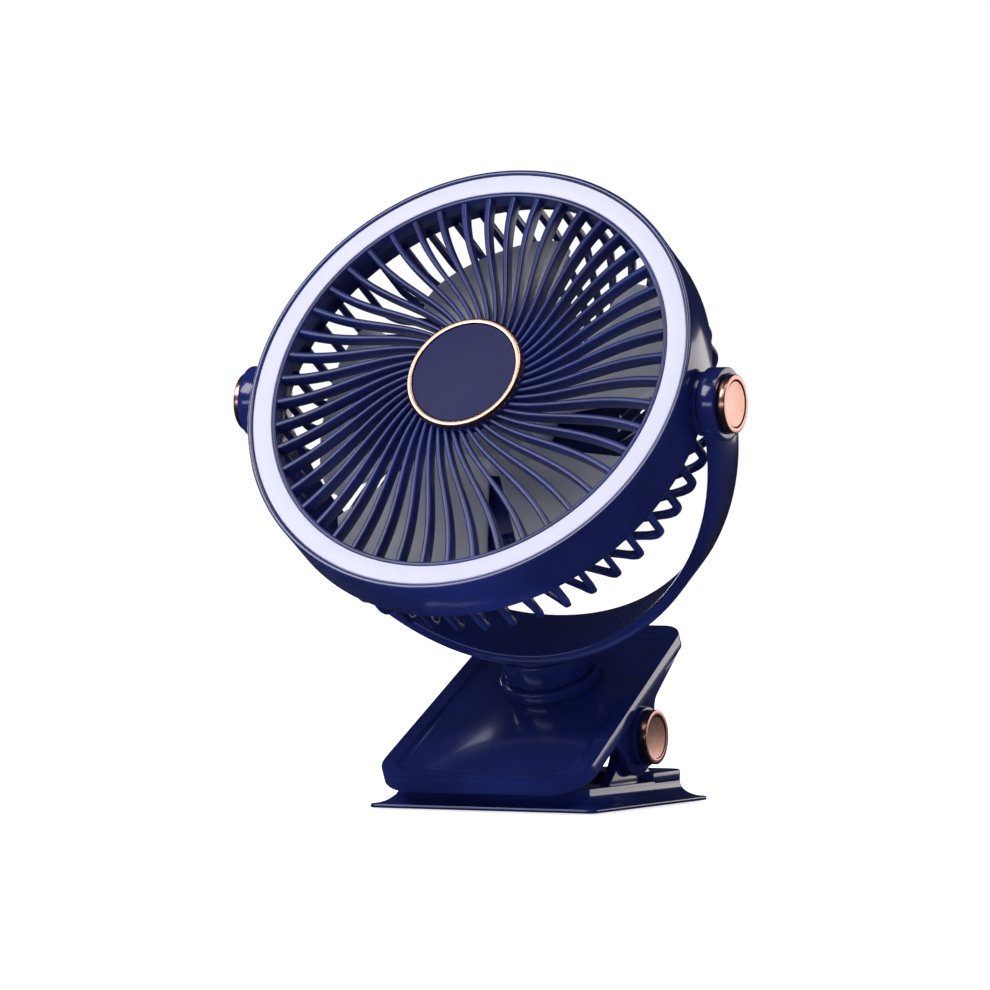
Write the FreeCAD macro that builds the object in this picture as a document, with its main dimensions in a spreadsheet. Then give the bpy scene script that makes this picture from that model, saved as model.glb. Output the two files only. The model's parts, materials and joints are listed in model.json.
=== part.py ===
import FreeCAD, Part
import Sketcher
import math
import os
import re

# A clip-on camping fan with a ring light, in millimetres.
# Row frame: X to the fan's side, -Y to its front, +Z up.
# The origin is the middle of the base's underside, on the surface that it stands on.

Vector = FreeCAD.Vector

SIZES = {
    # Clip: the base, which is the lower jaw
    "base_width": 86.3,
    "base_length": 95.0,
    "base_corner": 3.0,
    "base_rim": 2.0,
    "skirt_inset": 6.5,
    "block_height": 8.5,
    "block_corner": 5.0,
    "heel_height": 11.7,
    "heel_length": 30.0,
    "base_shell": 2.5,
    "base_cover_thickness": 2.4,
    "base_cover_play": 0.2,
    "floor_pad_inset": 5.0,
    "floor_pad_sink": 1.0,
    "floor_pad_proud": 0.6,
    "ear_gap": 59.0,
    "ear_thickness": 4.0,
    "ear_radius": 8.5,
    "ear_foot_front": 20.0,
    "ear_foot_rear": 20.0,
    "ear_hollow": 0.28,
    "ear_hollow_level": 0.62,
    "lower_pad_width": 62.0,
    "lower_pad_length": 17.0,
    "lower_pad_setback": 1.5,
    "lower_pad_depth": 1.0,
    "lower_pad_proud": 1.2,
    # Hinge of the clip
    "hinge_ahead": 43.4,
    "hinge_height": 24.5,
    "pin_radius": 3.0,
    "running_gap": 0.05,
    "hinge_cap_radius": 9.5,
    "hinge_cap_width": 3.5,
    "hinge_cap_edge": 0.8,
    "spring_radius": 6.5,
    "spring_wire": 1.4,
    "spring_turns": 7,
    "spring_pitch": 1.95,
    "spring_leg_gap": 0.3,
    "base_leg_reach": 13.0,
    "lever_leg_reach": 5.0,
    # Clip: the upper jaw with its lever, in its own sloping plane
    "jaw_slope": 28.0,
    "seat_ahead": 37.8,
    "seat_height": 44.3,
    "jaw_front": 71.0,
    "jaw_rear": 37.0,
    "jaw_front_width": 81.0,
    "jaw_rear_width": 72.0,
    "jaw_thickness": 5.0,
    "jaw_front_corner": 14.0,
    "jaw_rear_corner": 8.0,
    "jaw_border": 6.0,
    "jaw_recess": 1.2,
    "flange_thickness": 3.0,
    "flange_play": 0.5,
    "flange_radius": 13.0,
    "flange_front_reach": 2.4,
    "flange_rear_reach": 3.2,
    "flange_front_hollow": 7.5,
    "flange_front_hollow_depth": 4.4,
    "flange_rear_hollow": 13.8,
    "flange_rear_hollow_depth": 2.8,
    "collar_width": 2.5,
    "collar_radius": 10.5,
    "upper_pad_width": 60.0,
    "upper_pad_length": 13.0,
    "upper_pad_setback": 12.0,
    "upper_pad_thickness": 2.5,
    # Swivel between the upper jaw and the yoke
    "seat_collar_radius": 18.0,
    "seat_collar_height": 3.0,
    "swivel_radius": 16.0,
    "swivel_gap": 0.3,
    "swivel_shaft_radius": 6.0,
    "swivel_washer_radius": 10.0,
    "swivel_washer_thickness": 1.2,
    "swivel_screw_radius": 2.0,
    "swivel_screw_head": 5.0,
    "swivel_screw_head_height": 2.4,
    "swivel_screw_length": 10.0,
    # Yoke
    "yoke_height": 108.8,
    "yoke_drop": 96.0,
    "yoke_reach": 88.5,
    "yoke_thickness": 4.2,
    "yoke_top_width": 20.0,
    "yoke_bottom_width": 30.0,
    "yoke_eye_radius": 12.5,
    "yoke_eye_proud": 2.0,
    "yoke_foot_radius": 15.0,
    "yoke_web": 2.0,
    "pivot_cap_radius": 10.0,
    "pivot_cap_height": 3.0,
    "pivot_cap_plug": 1.7,
    "pivot_cap_edge": 0.8,
    # Tilt pivots
    "head_tilt": 29.7,
    "boss_radius": 11.0,
    "boss_height": 3.0,
    "pivot_washer_radius": 8.0,
    "pivot_washer_gap": 0.1,
    "pivot_screw_radius": 2.5,
    "pivot_head_radius": 5.0,
    "pivot_head_height": 1.8,
    # Head: light ring and front grille
    "ring_face": 18.3,
    "ring_outer_radius": 80.0,
    "ring_inner_radius": 73.2,
    "diffuser_thickness": 2.0,
    "diffuser_edge": 0.4,
    "seat_gap": 0.1,
    "drum_gap": 0.3,
    "drum_wall": 1.7,
    "drum_depth": 20.3,
    "drum_lip": 0.3,
    "channel_depth": 6.5,
    "channel_wall": 1.5,
    "light_board_thickness": 1.2,
    "chip_size": 2.8,
    "chip_height": 0.7,
    "chip_count": 36,
    "front_rib_count": 48,
    "front_rib_sweep": 25.0,
    "front_rib_bend": 2.5,
    "rib_outer_width": 2.2,
    "rib_inner_width": 1.5,
    "rib_depth": 5.0,
    "hub_proud": 3.5,
    "hub_ring_radius": 21.4,
    "hub_disc_radius": 19.1,
    "hub_ring_height": 2.0,
    "hub_disc_height": 1.7,
    "hub_plate": 4.0,
    # Head: rear cage
    "cage_rib_count": 48,
    "cage_rib_sweep": 32.0,
    "cage_rib_bend": 1.5,
    "cage_rib_width": 2.4,
    "cage_radius": 78.8,
    "cage_wall": 3.0,
    "cage_depth": 43.0,
    "cage_corner": 8.0,
    "cage_ring_height": 7.0,
    "cage_ring_wall": 2.0,
    "cage_plate_hole": 5.0,
    # Head: motor and fan wheel
    "motor_base_radius": 12.0,
    "motor_base_height": 2.0,
    "bearing_tube_radius": 5.4,
    "bearing_tube_length": 12.0,
    "bearing_radius": 4.0,
    "bearing_width": 3.0,
    "shaft_radius": 1.5,
    "shaft_length": 22.5,
    "winding_radius": 12.0,
    "winding_height": 6.5,
    "winding_lift": 1.0,
    "magnet_radius": 14.8,
    "magnet_wall": 2.0,
    "magnet_height": 8.0,
    "rotor_cup_wall": 1.2,
    "wheel_hub_wall": 2.5,
    "wheel_front_wall": 2.0,
    "hub_tail_gap": 2.6,
    "air_gap": 0.5,
    "blade_count": 5,
    "blade_radius": 70.0,
    "blade_thickness": 1.8,
    "blade_tip_height": 14.0,
    "blade_root_height": 11.0,
    "blade_tip_spread": 56.0,
    "blade_root_spread": 50.0,
    "blade_lead": 14.0,
    "blade_camber": 3.0,
    "blade_turn": 20.0,
    "nut_radius": 4.0,
    "nut_height": 3.0,
    "motor_screw_circle": 8.6,
    "motor_screw_radius": 1.1,
    "motor_screw_head": 2.2,
    "motor_screw_sink": 1.3,
    # Head: battery pod behind the cage
    "pod_radius": 40.0,
    "pod_wall": 2.0,
    "pod_depth": 28.0,
    "pod_boss_radius": 3.4,
    "pod_boss_place": 24.0,
    "cover_thickness": 2.0,
    "cover_edge": 1.0,
    "cell_radius": 9.2,
    "cell_length": 65.0,
    "cell_gap": 0.3,
    "tray_width": 56.0,
    "tray_length": 38.0,
    "tray_thickness": 1.2,
    "tray_post": 1.0,
    "tray_post_radius": 2.0,
    "board_width": 34.0,
    "board_length": 57.0,
    "board_shift": 4.5,
    "board_thickness": 1.6,
    "switch_size": 6.0,
    "switch_height": 0.8,
    "port_width": 9.0,
    "port_height": 3.2,
    "port_length": 7.3,
    "port_gap": 0.3,
    "button_radius": 5.0,
    "button_play": 0.2,
    "button_place": 11.0,
    "button_proud": 1.4,
    "button_flange": 1.2,
    "button_flange_height": 1.0,
    "window_radius": 1.5,
    "window_place": 12.0,
    "cover_screw_radius": 1.2,
    "cover_screw_head": 2.4,
    "cover_screw_length": 10.0,
}

doc = FreeCAD.newDocument("camping_fan")
sheet = doc.addObject("Spreadsheet::Sheet", "sizes")
for row, (word, number) in enumerate(SIZES.items(), start=1):
    sheet.set("A%d" % row, word)
    sheet.set("B%d" % row, str(number))
    sheet.setAlias("B%d" % row, word)
doc.recompute()


class Sizes:
    """The numbers of the sheet, under their own names."""


S = Sizes()
for word in SIZES:
    setattr(S, word, float(sheet.get(word)))

# Levels and radii that several pieces share, worked out from the sheet.
LEVELS = {
    "hinge_y": S.base_length / 2 - S.hinge_ahead,
    "seat_y": S.base_length / 2 - S.seat_ahead,
}


def axis_turn(degrees):
    """A turn about the X axis."""
    return FreeCAD.Rotation(Vector(1, 0, 0), degrees)


def bound(text):
    """The same expression with each word pointing at its cell of the sheet."""
    return re.sub(r"[a-z][a-z_0-9]{2,}", lambda found: "sizes." + found.group(0), text)


# Places of the four main groups, each with its own axes.
WORLD = FreeCAD.Placement()
HINGE = FreeCAD.Placement(Vector(0, LEVELS["hinge_y"], S.hinge_height), FreeCAD.Rotation())
JAW = FreeCAD.Placement(Vector(0, LEVELS["seat_y"], S.seat_height), axis_turn(S.jaw_slope))
YOKE = JAW * FreeCAD.Placement(Vector(0, 0, S.yoke_height), FreeCAD.Rotation())
HEAD = FreeCAD.Placement(YOKE.Base, axis_turn(90 - S.head_tilt))
ALONG_X = FreeCAD.Placement(Vector(), FreeCAD.Rotation(Vector(0, 1, 0), 90))
AGAINST_X = FreeCAD.Placement(Vector(), FreeCAD.Rotation(Vector(0, 1, 0), -90))

parts = []


def keep(item, label, place):
    """Give a finished piece its name and its place."""
    item.Label = label
    item.Placement = place
    parts.append(item)
    return item


def origin_plane(body, role):
    return [item for item in body.Origin.OriginFeatures if item.Role == role][0]


def new_body(label, place):
    return keep(doc.addObject("PartDesign::Body", label + "_body"), label, place)


def new_sketch(body, role, height="0"):
    """A sketch on one of the body's own planes, lifted off it by an expression."""
    sketch = body.newObject("Sketcher::SketchObject", body.Name + "_sketch")
    sketch.AttachmentSupport = [(origin_plane(body, role), "")]
    sketch.MapMode = "FlatFace"
    if height != "0":
        sketch.setExpression(".AttachmentOffset.Base.z", bound(height))
    return sketch


def pin_point(sketch, geometry, point, x, y, guess):
    """Hold a point of the sketch at two expressions from the sketch's origin."""
    for kind, text, number in (("DistanceX", x, guess.x), ("DistanceY", y, guess.y)):
        index = sketch.addConstraint(Sketcher.Constraint(kind, -1, 1, geometry, point, number))
        sketch.setExpression("Constraints[%d]" % index, bound(text))


def draw_outline(sketch, corners):
    """A closed outline of straight lines through corners given as expressions."""
    count = len(corners)
    first = sketch.GeometryCount
    guesses = []
    for index in range(count):
        angle = 2 * math.pi * index / count
        guesses.append(Vector(60 + 10 * math.cos(angle), 10 * math.sin(angle), 0))
    for index in range(count):
        line = Part.LineSegment(guesses[index], guesses[(index + 1) % count])
        sketch.addGeometry(line, False)
    for index in range(count):
        after = first + (index + 1) % count
        sketch.addConstraint(Sketcher.Constraint("Coincident", first + index, 2, after, 1))
    for index, (x, y) in enumerate(corners):
        pin_point(sketch, first + index, 1, x, y, guesses[index])


def draw_circle(sketch, x, y, radius):
    """A circle with its centre and its radius given as expressions."""
    guess = Vector(5, 5, 0)
    index = sketch.addGeometry(Part.Circle(guess, Vector(0, 0, 1), 3), False)
    rule = sketch.addConstraint(Sketcher.Constraint("Radius", index, 3))
    sketch.setExpression("Constraints[%d]" % rule, bound(radius))
    pin_point(sketch, index, 3, x, y, guess)


def rectangle(width, length, middle_y="0"):
    """Corners of a rectangle about X = 0."""
    low = "%s - (%s) / 2" % (middle_y, length)
    high = "%s + (%s) / 2" % (middle_y, length)
    left = "-(%s) / 2" % width
    right = "(%s) / 2" % width
    return [(left, low), (right, low), (right, high), (left, high)]


def turned(label, place, outline):
    """A body turned about its Z axis from (radius, height) expressions."""
    body = new_body(label, place)
    sketch = new_sketch(body, "XZ_Plane")
    draw_outline(sketch, outline)
    solid = body.newObject("PartDesign::Revolution", body.Name + "_turn")
    solid.Profile = sketch
    solid.ReferenceAxis = (sketch, ["V_Axis"])
    solid.Angle = 360
    sketch.Visibility = False
    return body


def pad(body, role, height, length, draw, both_ways=False):
    """Add a prism to a body: draw(sketch) gives its outline."""
    sketch = new_sketch(body, role, height)
    draw(sketch)
    solid = body.newObject("PartDesign::Pad", body.Name + "_pad")
    solid.Profile = sketch
    solid.Midplane = both_ways
    solid.setExpression("Length", bound(length))
    sketch.Visibility = False
    return solid


def pocket(body, role, height, length, draw, reverse=False):
    """Cut a prism out of a body, and make sure that it cuts something."""
    doc.recompute()
    before = body.Shape.Volume
    sketch = new_sketch(body, role, height)
    draw(sketch)
    cut = body.newObject("PartDesign::Pocket", body.Name + "_pocket")
    cut.Profile = sketch
    cut.Reversed = reverse
    cut.setExpression("Length", bound(length))
    sketch.Visibility = False
    doc.recompute()
    if body.Shape.Volume > before - 0.01:
        raise RuntimeError("a pocket of %s cuts nothing" % body.Label)
    return cut


def slab(label, place, corners, height, thickness):
    """A flat plate with straight sides."""
    body = new_body(label, place)
    pad(body, "XY_Plane", height, thickness, lambda sketch: draw_outline(sketch, corners))
    return body


def soften(body, kind, size, wanted):
    """Round or bevel the edges that the test wanted(edge) picks."""
    doc.recompute()
    base = body.Tip
    names = []
    for index, edge in enumerate(base.Shape.Edges, start=1):
        if wanted(edge):
            names.append("Edge%d" % index)
    dressing = body.newObject("PartDesign::" + kind, body.Name + "_" + kind.lower())
    dressing.Base = (base, names)
    dressing.setExpression("Radius" if kind == "Fillet" else "Size", bound(size))
    return dressing


def at_height(level):
    """Pick the edges that lie at one height."""
    def test(edge):
        box = edge.BoundBox
        return abs(box.ZMin - level) < 0.001 and abs(box.ZMax - level) < 0.001
    return test


def solid_piece(label, place, shape):
    """A piece whose shape comes from Part's own functions."""
    item = doc.addObject("Part::Feature", label)
    item.Shape = shape
    return keep(item, label, place * shape.Placement)


def turned_shape(outline):
    """A turned solid from (radius, height) numbers."""
    points = [Vector(radius, 0, height) for radius, height in outline]
    face = Part.Face(Part.makePolygon(points + points[:1]))
    return face.revolve(Vector(), Vector(0, 0, 1), 360)


def ring_shape(inner, outer, low, high):
    return turned_shape([(inner, low), (outer, low), (outer, high), (inner, high)])


def disc_shape(radius, low, high):
    return Part.makeCylinder(radius, high - low, Vector(0, 0, low))


def screw_shape(radius, length, head_radius, head_height):
    """A screw with its head above Z = 0, its shank below, and a cross recess."""
    shank = disc_shape(radius, -length, 0)
    head = disc_shape(head_radius, 0, head_height)
    head = head.makeFillet(head_height * 0.35, [head.Edges[0]])
    slot_width = head_radius * 0.28
    slot_depth = head_height * 0.5
    screw = head.fuse(shank).removeSplitter()
    for degrees in (0, 90):
        slot = Part.makeBox(head_radius * 1.2, slot_width, slot_depth,
                            Vector(-head_radius * 0.6, -slot_width / 2, head_height - slot_depth))
        slot.rotate(Vector(), Vector(0, 0, 1), degrees)
        screw = screw.cut(slot)
    return screw


def group(shapes):
    return Part.makeCompound(shapes)


def moved(shape, x=0.0, y=0.0, z=0.0, turn=None):
    """A copy of a shape, turned and then moved."""
    copy = shape.copy()
    copy.Placement = FreeCAD.Placement(Vector(x, y, z), turn or FreeCAD.Rotation()) * copy.Placement
    return copy


def polar(radius, degrees, height=0.0):
    angle = math.radians(degrees)
    return Vector(radius * math.cos(angle), radius * math.sin(angle), height)


def wire_face(edges):
    return Part.Face(Part.Wire(edges))


def line(first, second):
    return Part.LineSegment(first, second).toShape()


def arc(first, middle, last):
    return Part.Arc(first, middle, last).toShape()


def rounded_wire(width, length, corner, height):
    """A rectangle with round corners, about the Z axis."""
    x = width / 2
    y = length / 2
    edges = []
    for quarter, (sign_x, sign_y) in enumerate(((1, 1), (-1, 1), (-1, -1), (1, -1))):
        centre = Vector(sign_x * (x - corner), sign_y * (y - corner), height)
        start = centre + polar(corner, quarter * 90)
        middle = centre + polar(corner, quarter * 90 + 45)
        stop = centre + polar(corner, quarter * 90 + 90)
        if edges:
            edges.append(line(edges[-1].lastVertex().Point, start))
        edges.append(arc(start, middle, stop))
    edges.append(line(edges[-1].lastVertex().Point, edges[0].firstVertex().Point))
    return Part.Wire(Part.__sortEdges__(edges))


# The clip's base


def base_outline_shape():
    """The rim, the hollow-curved skirt and the block of the base."""
    rim = Part.Face(rounded_wire(S.base_width, S.base_length, S.base_corner, S.floor_pad_proud))
    solid = rim.extrude(Vector(0, 0, S.base_rim - S.floor_pad_proud))
    sections = []
    steps = 4
    rise = S.block_height - S.base_rim
    for step in range(steps + 1):
        angle = math.pi / 2 * step / steps
        inset = S.skirt_inset * math.sin(angle)
        height = S.base_rim + rise * 0.8 * (1 - math.cos(angle))
        corner = S.base_corner + (S.block_corner - S.base_corner) * step / steps
        sections.append(rounded_wire(S.base_width - 2 * inset, S.base_length - 2 * inset,
                                     corner, height))
    skirt = Part.makeLoft(sections, True, True)
    block_face = Part.Face(rounded_wire(S.base_width - 2 * S.skirt_inset,
                                        S.base_length - 2 * S.skirt_inset,
                                        S.block_corner, S.base_rim + rise * 0.8))
    block = block_face.extrude(Vector(0, 0, rise * 0.2))
    return solid.multiFuse([skirt, block]).removeSplitter()


def heel_shape():
    """The raised rear end of the block."""
    width = S.base_width - 2 * S.skirt_inset
    rear = S.base_length / 2 - S.skirt_inset
    tall = Part.Face(rounded_wire(width, 2 * rear, S.block_corner, S.block_height - 1))
    tall = tall.extrude(Vector(0, 0, S.heel_height - S.block_height + 1))
    keep_box = Part.makeBox(2 * width, S.heel_length, 2 * S.heel_height,
                            Vector(-width, rear - S.heel_length, 0))
    return tall.common(keep_box)


def ear_shape(x):
    """One ear of the base: a gusset with hollow edges that ends in a round eye."""
    eye = S.ear_radius
    drop = S.hinge_height - S.block_height + 1
    front = Vector(x, -S.ear_foot_front, -drop)
    rear = Vector(x, S.ear_foot_rear, -drop)
    edges = [
        line(front, rear),
        arc(rear,
            Vector(x, eye + S.ear_hollow * (S.ear_foot_rear - eye), -S.ear_hollow_level * drop),
            Vector(x, eye, 0)),
        arc(Vector(x, eye, 0), Vector(x, 0, eye), Vector(x, -eye, 0)),
        arc(Vector(x, -eye, 0),
            Vector(x, -eye - S.ear_hollow * (S.ear_foot_front - eye), -S.ear_hollow_level * drop),
            front),
    ]
    ear = wire_face(edges).extrude(Vector(S.ear_thickness, 0, 0))
    return moved(ear, y=LEVELS["hinge_y"], z=S.hinge_height)


def cross_bar(radius, half_width):
    """A round bar through the hinge axis."""
    bar = Part.makeCylinder(radius, 2 * half_width, Vector(-half_width, 0, 0), Vector(1, 0, 0))
    return moved(bar, y=LEVELS["hinge_y"], z=S.hinge_height)


def lower_pad_middle():
    rear_of_front = S.skirt_inset + S.lower_pad_setback + S.lower_pad_length / 2
    return -S.base_length / 2 + rear_of_front


def cavity_size():
    inset = 2 * (S.skirt_inset + S.base_shell)
    return S.base_width - inset, S.base_length - inset


def make_base():
    solid = base_outline_shape()
    ear_inside = S.ear_gap / 2
    pieces = [heel_shape(), ear_shape(ear_inside), ear_shape(-ear_inside - S.ear_thickness)]
    solid = solid.multiFuse(pieces).removeSplitter()
    solid = solid.cut(cross_bar(S.pin_radius, S.base_width))
    width, length = cavity_size()
    roof = S.block_height - S.base_shell - S.lower_pad_depth
    cavity = Part.Face(rounded_wire(width, length, S.block_corner, S.floor_pad_proud))
    solid = solid.cut(cavity.extrude(Vector(0, 0, roof - S.floor_pad_proud)))
    seat = Part.makeBox(S.lower_pad_width + 2 * S.seat_gap, S.lower_pad_length + 2 * S.seat_gap,
                        S.block_height,
                        Vector(-S.lower_pad_width / 2 - S.seat_gap,
                               lower_pad_middle() - S.lower_pad_length / 2 - S.seat_gap,
                               S.block_height - S.lower_pad_depth))
    return solid_piece("base", WORLD, solid.cut(seat))


def floor_pad_size():
    width, length = cavity_size()
    return width - 2 * S.floor_pad_inset, length - 2 * S.floor_pad_inset


def make_base_cover():
    """The plate that closes the base from below, with a shallow seat for the floor pad."""
    width, length = cavity_size()
    play = 2 * S.base_cover_play
    corner = S.block_corner - S.base_cover_play
    face = Part.Face(rounded_wire(width - play, length - play, corner, S.floor_pad_proud))
    plate = face.extrude(Vector(0, 0, S.base_cover_thickness))
    seat_width, seat_length = floor_pad_size()
    seat = Part.Face(rounded_wire(seat_width + 2 * S.seat_gap, seat_length + 2 * S.seat_gap,
                                  corner, S.floor_pad_proud))
    return solid_piece("base_cover", WORLD, plate.cut(seat.extrude(Vector(0, 0, S.floor_pad_sink))))


def make_floor_pad():
    """The rubber pad that the fan stands on."""
    width, length = floor_pad_size()
    face = Part.Face(rounded_wire(width, length, S.block_corner - S.base_cover_play, 0))
    pad_solid = face.extrude(Vector(0, 0, S.floor_pad_proud + S.floor_pad_sink))
    return solid_piece("floor_pad", WORLD, pad_solid)


def make_lower_pad():
    height = "block_height - lower_pad_depth"
    corners = [(x, "lower_pad_setback + skirt_inset - base_length / 2 + (%s)" % y)
               for x, y in (("-lower_pad_width / 2", "0"), ("lower_pad_width / 2", "0"),
                            ("lower_pad_width / 2", "lower_pad_length"),
                            ("-lower_pad_width / 2", "lower_pad_length"))]
    return slab("lower_grip_pad", WORLD, corners, height, "lower_pad_depth + lower_pad_proud")


def flange_outside():
    """Half the width over the two flanges of the upper jaw."""
    return S.ear_gap / 2 + S.ear_thickness + S.flange_play + S.flange_thickness


def make_hinge_pin():
    return turned("hinge_pin", HINGE * ALONG_X, [
        ("0", "-" + PIN_HALF), ("pin_radius", "-" + PIN_HALF),
        ("pin_radius", PIN_HALF), ("0", PIN_HALF)])


PIN_HALF = "(ear_gap / 2 + ear_thickness + flange_play + flange_thickness + collar_width)"


def make_hinge_caps():
    low = PIN_HALF + " + seat_gap"
    high = low + " + hinge_cap_width"
    outline = [("0", low), ("hinge_cap_radius", low),
               ("hinge_cap_radius", high + " - hinge_cap_edge"),
               ("hinge_cap_radius - hinge_cap_edge", high), ("0", high)]
    turned("hinge_cap_right", HINGE * ALONG_X, outline)
    turned("hinge_cap_left", HINGE * AGAINST_X, outline)


def biarc(first, first_way, last, last_way):
    """Two arcs that leave a point in one direction and reach another point in a second one."""
    chord = last - first
    ways = first_way + last_way
    spread = 2 * (1 - first_way.dot(last_way))
    along = chord.dot(ways)
    reach = (-along + math.sqrt(along * along + spread * chord.dot(chord))) / spread
    joint = (first + last + (first_way - last_way) * reach) * 0.5
    return [tangent_arc(first, first_way, joint), tangent_arc(last, last_way * -1, joint)]


def tangent_arc(start, way, end):
    """An arc from a point, in a direction, to an end."""
    chord = end - start
    length = chord.Length
    unit = chord * (1 / length)
    side = way - unit * way.dot(unit)
    angle = math.atan2(side.Length, way.dot(unit))
    side.normalize()
    middle = (start + end) * 0.5 + side * (length / 2 * math.tan(angle / 2))
    return arc(start, middle, end)


def spring_ends():
    """Where the two legs of the spring end, seen along the hinge and measured from it."""
    clear = S.spring_wire / 2 + S.spring_leg_gap
    on_base = Vector(S.base_leg_reach, S.heel_height + clear - S.hinge_height, 0)
    hinge = hinge_in_jaw()
    under_lever = Vector(0, hinge.y + S.lever_leg_reach, -S.jaw_thickness - clear)
    spot = JAW.multVec(under_lever) - HINGE.Base
    return on_base, Vector(spot.y, spot.z, 0)


def leg_length(end):
    """How long a leg is that leaves the coil straight and reaches a point."""
    return math.sqrt(end.Length ** 2 - S.spring_radius ** 2)


def make_spring():
    """The torsion spring round the hinge pin, one unbroken wire with two legs."""
    radius = S.spring_radius
    first_end, last_end = spring_ends()
    first_leg = leg_length(first_end)
    last_leg = leg_length(last_end)
    start = math.atan2(first_end.y, first_end.x) - math.atan2(first_leg, radius)
    stop = math.atan2(last_end.y, last_end.x) + math.atan2(last_leg, radius)
    total = 2 * math.pi * S.spring_turns + (start - stop) % (2 * math.pi)
    steps = math.ceil(total / (math.pi / 2))
    run = S.spring_pitch / (2 * math.pi)

    def point(step):
        turned_by = total * step / steps
        angle = start - turned_by
        return Vector(run * (turned_by - total / 2), radius * math.cos(angle),
                      radius * math.sin(angle))

    def way(step):
        angle = start - total * step / steps
        return Vector(run, radius * math.sin(angle), -radius * math.cos(angle)).normalize()

    edges = [line(point(0) - way(0) * first_leg, point(0))]
    for step in range(steps):
        edges += biarc(point(step), way(step), point(step + 1), way(step + 1))
    edges.append(line(point(steps), point(steps) + way(steps) * last_leg))
    path = Part.Wire(edges)
    section = Part.Circle(edges[0].firstVertex().Point, way(0), S.spring_wire / 2).toShape()
    tube = path.makePipeShell([Part.Wire(section)], True, False)
    gap = S.spring_pitch * math.cos(math.atan(run / radius)) - S.spring_wire
    print("clamp spring: %.1f turns, least gap between turns %.2f mm"
          % (total / (2 * math.pi), gap))
    return solid_piece("clamp_spring", HINGE, tube)


# The clip's upper jaw


def hinge_in_jaw():
    """The hinge axis in the sloping axes of the upper jaw."""
    return JAW.inverse().multVec(Vector(0, LEVELS["hinge_y"], S.hinge_height))


def jaw_plate_shape():
    """The lever plate, wider at the front, with its shallow field."""
    front = S.jaw_front_width / 2
    rear = S.jaw_rear_width / 2
    corners = [Vector(-front, -S.jaw_front, 0), Vector(front, -S.jaw_front, 0),
               Vector(rear, S.jaw_rear, 0), Vector(-rear, S.jaw_rear, 0)]
    plate = Part.Face(Part.makePolygon(corners + corners[:1]))
    plate = plate.extrude(Vector(0, 0, -S.jaw_thickness))
    plate = plate.makeFillet(S.jaw_front_corner, upright_edges(plate, -S.jaw_front))
    plate = plate.makeFillet(S.jaw_rear_corner, upright_edges(plate, S.jaw_rear))
    top = [face for face in plate.Faces if abs(face.CenterOfMass.z) < 0.001][0]
    field = top.makeOffset2D(-S.jaw_border, 0, False, False, True)
    field_face = Part.Face(field.Wires[0])
    plate = plate.cut(field_face.extrude(Vector(0, 0, -S.jaw_recess)))
    return plate


def upright_edges(solid, y):
    edges = []
    for edge in solid.Edges:
        box = edge.BoundBox
        if box.ZLength > 1 and box.YLength < 0.001 and abs(box.YMin - y) < 0.001:
            edges.append(edge)
    return edges


def flange_shape(x):
    """A side flange that runs from the lever plate down round the hinge."""
    hinge = hinge_in_jaw()
    top = -S.jaw_thickness + 0.5
    radius = S.flange_radius

    def on_eye(degrees):
        spot = polar(radius, degrees)
        return Vector(x, hinge.y + spot.x, hinge.z + spot.y)

    front = Vector(x, hinge.y - S.flange_front_reach * radius, top)
    rear = Vector(x, hinge.y + S.flange_rear_reach * radius, top)
    eye_front = on_eye(192)
    eye_rear = on_eye(8)
    edges = [
        line(rear, front),
        arc(front,
            Vector(x, eye_front.y - S.flange_front_hollow, top - S.flange_front_hollow_depth),
            eye_front),
        arc(eye_front, on_eye(280), eye_rear),
        arc(eye_rear,
            Vector(x, eye_rear.y + S.flange_rear_hollow, top - S.flange_rear_hollow_depth),
            rear),
    ]
    return wire_face(edges).extrude(Vector(S.flange_thickness, 0, 0))


def make_upper_jaw():
    plate = jaw_plate_shape()
    outside = flange_outside()
    hinge = hinge_in_jaw()
    pieces = [flange_shape(outside - S.flange_thickness), flange_shape(-outside)]
    for side in (-1, 1):
        start = Vector(side * (outside - 0.5), hinge.y, hinge.z)
        collar = Part.makeCylinder(S.collar_radius, S.collar_width + 0.5, start, Vector(side, 0, 0))
        pieces.append(collar)
    jaw = plate.multiFuse(pieces).removeSplitter()
    bore = Part.makeCylinder(S.pin_radius + S.running_gap, 4 * outside,
                             Vector(-2 * outside, hinge.y, hinge.z), Vector(1, 0, 0))
    shaft_hole = disc_shape(S.swivel_shaft_radius + S.running_gap, -2 * S.jaw_thickness, 1)
    return solid_piece("upper_jaw", JAW, jaw.cut(bore).cut(shaft_hole))


def make_swivel_collar():
    low = "-jaw_recess"
    outline = [("swivel_shaft_radius + running_gap", low), ("seat_collar_radius", low),
               ("seat_collar_radius", "seat_collar_height - 1"),
               ("seat_collar_radius - 1", "seat_collar_height"),
               ("swivel_shaft_radius + running_gap", "seat_collar_height")]
    return turned("swivel_collar", JAW, outline)


def make_upper_pad():
    front = "upper_pad_setback - jaw_front"
    corners = [("-upper_pad_width / 2", front), ("upper_pad_width / 2", front),
               ("upper_pad_width / 2", front + " + upper_pad_length"),
               ("-upper_pad_width / 2", front + " + upper_pad_length")]
    height = "-jaw_thickness - upper_pad_thickness"
    return slab("upper_grip_pad", JAW, corners, height, "upper_pad_thickness")


# The swivel and the yoke


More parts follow.
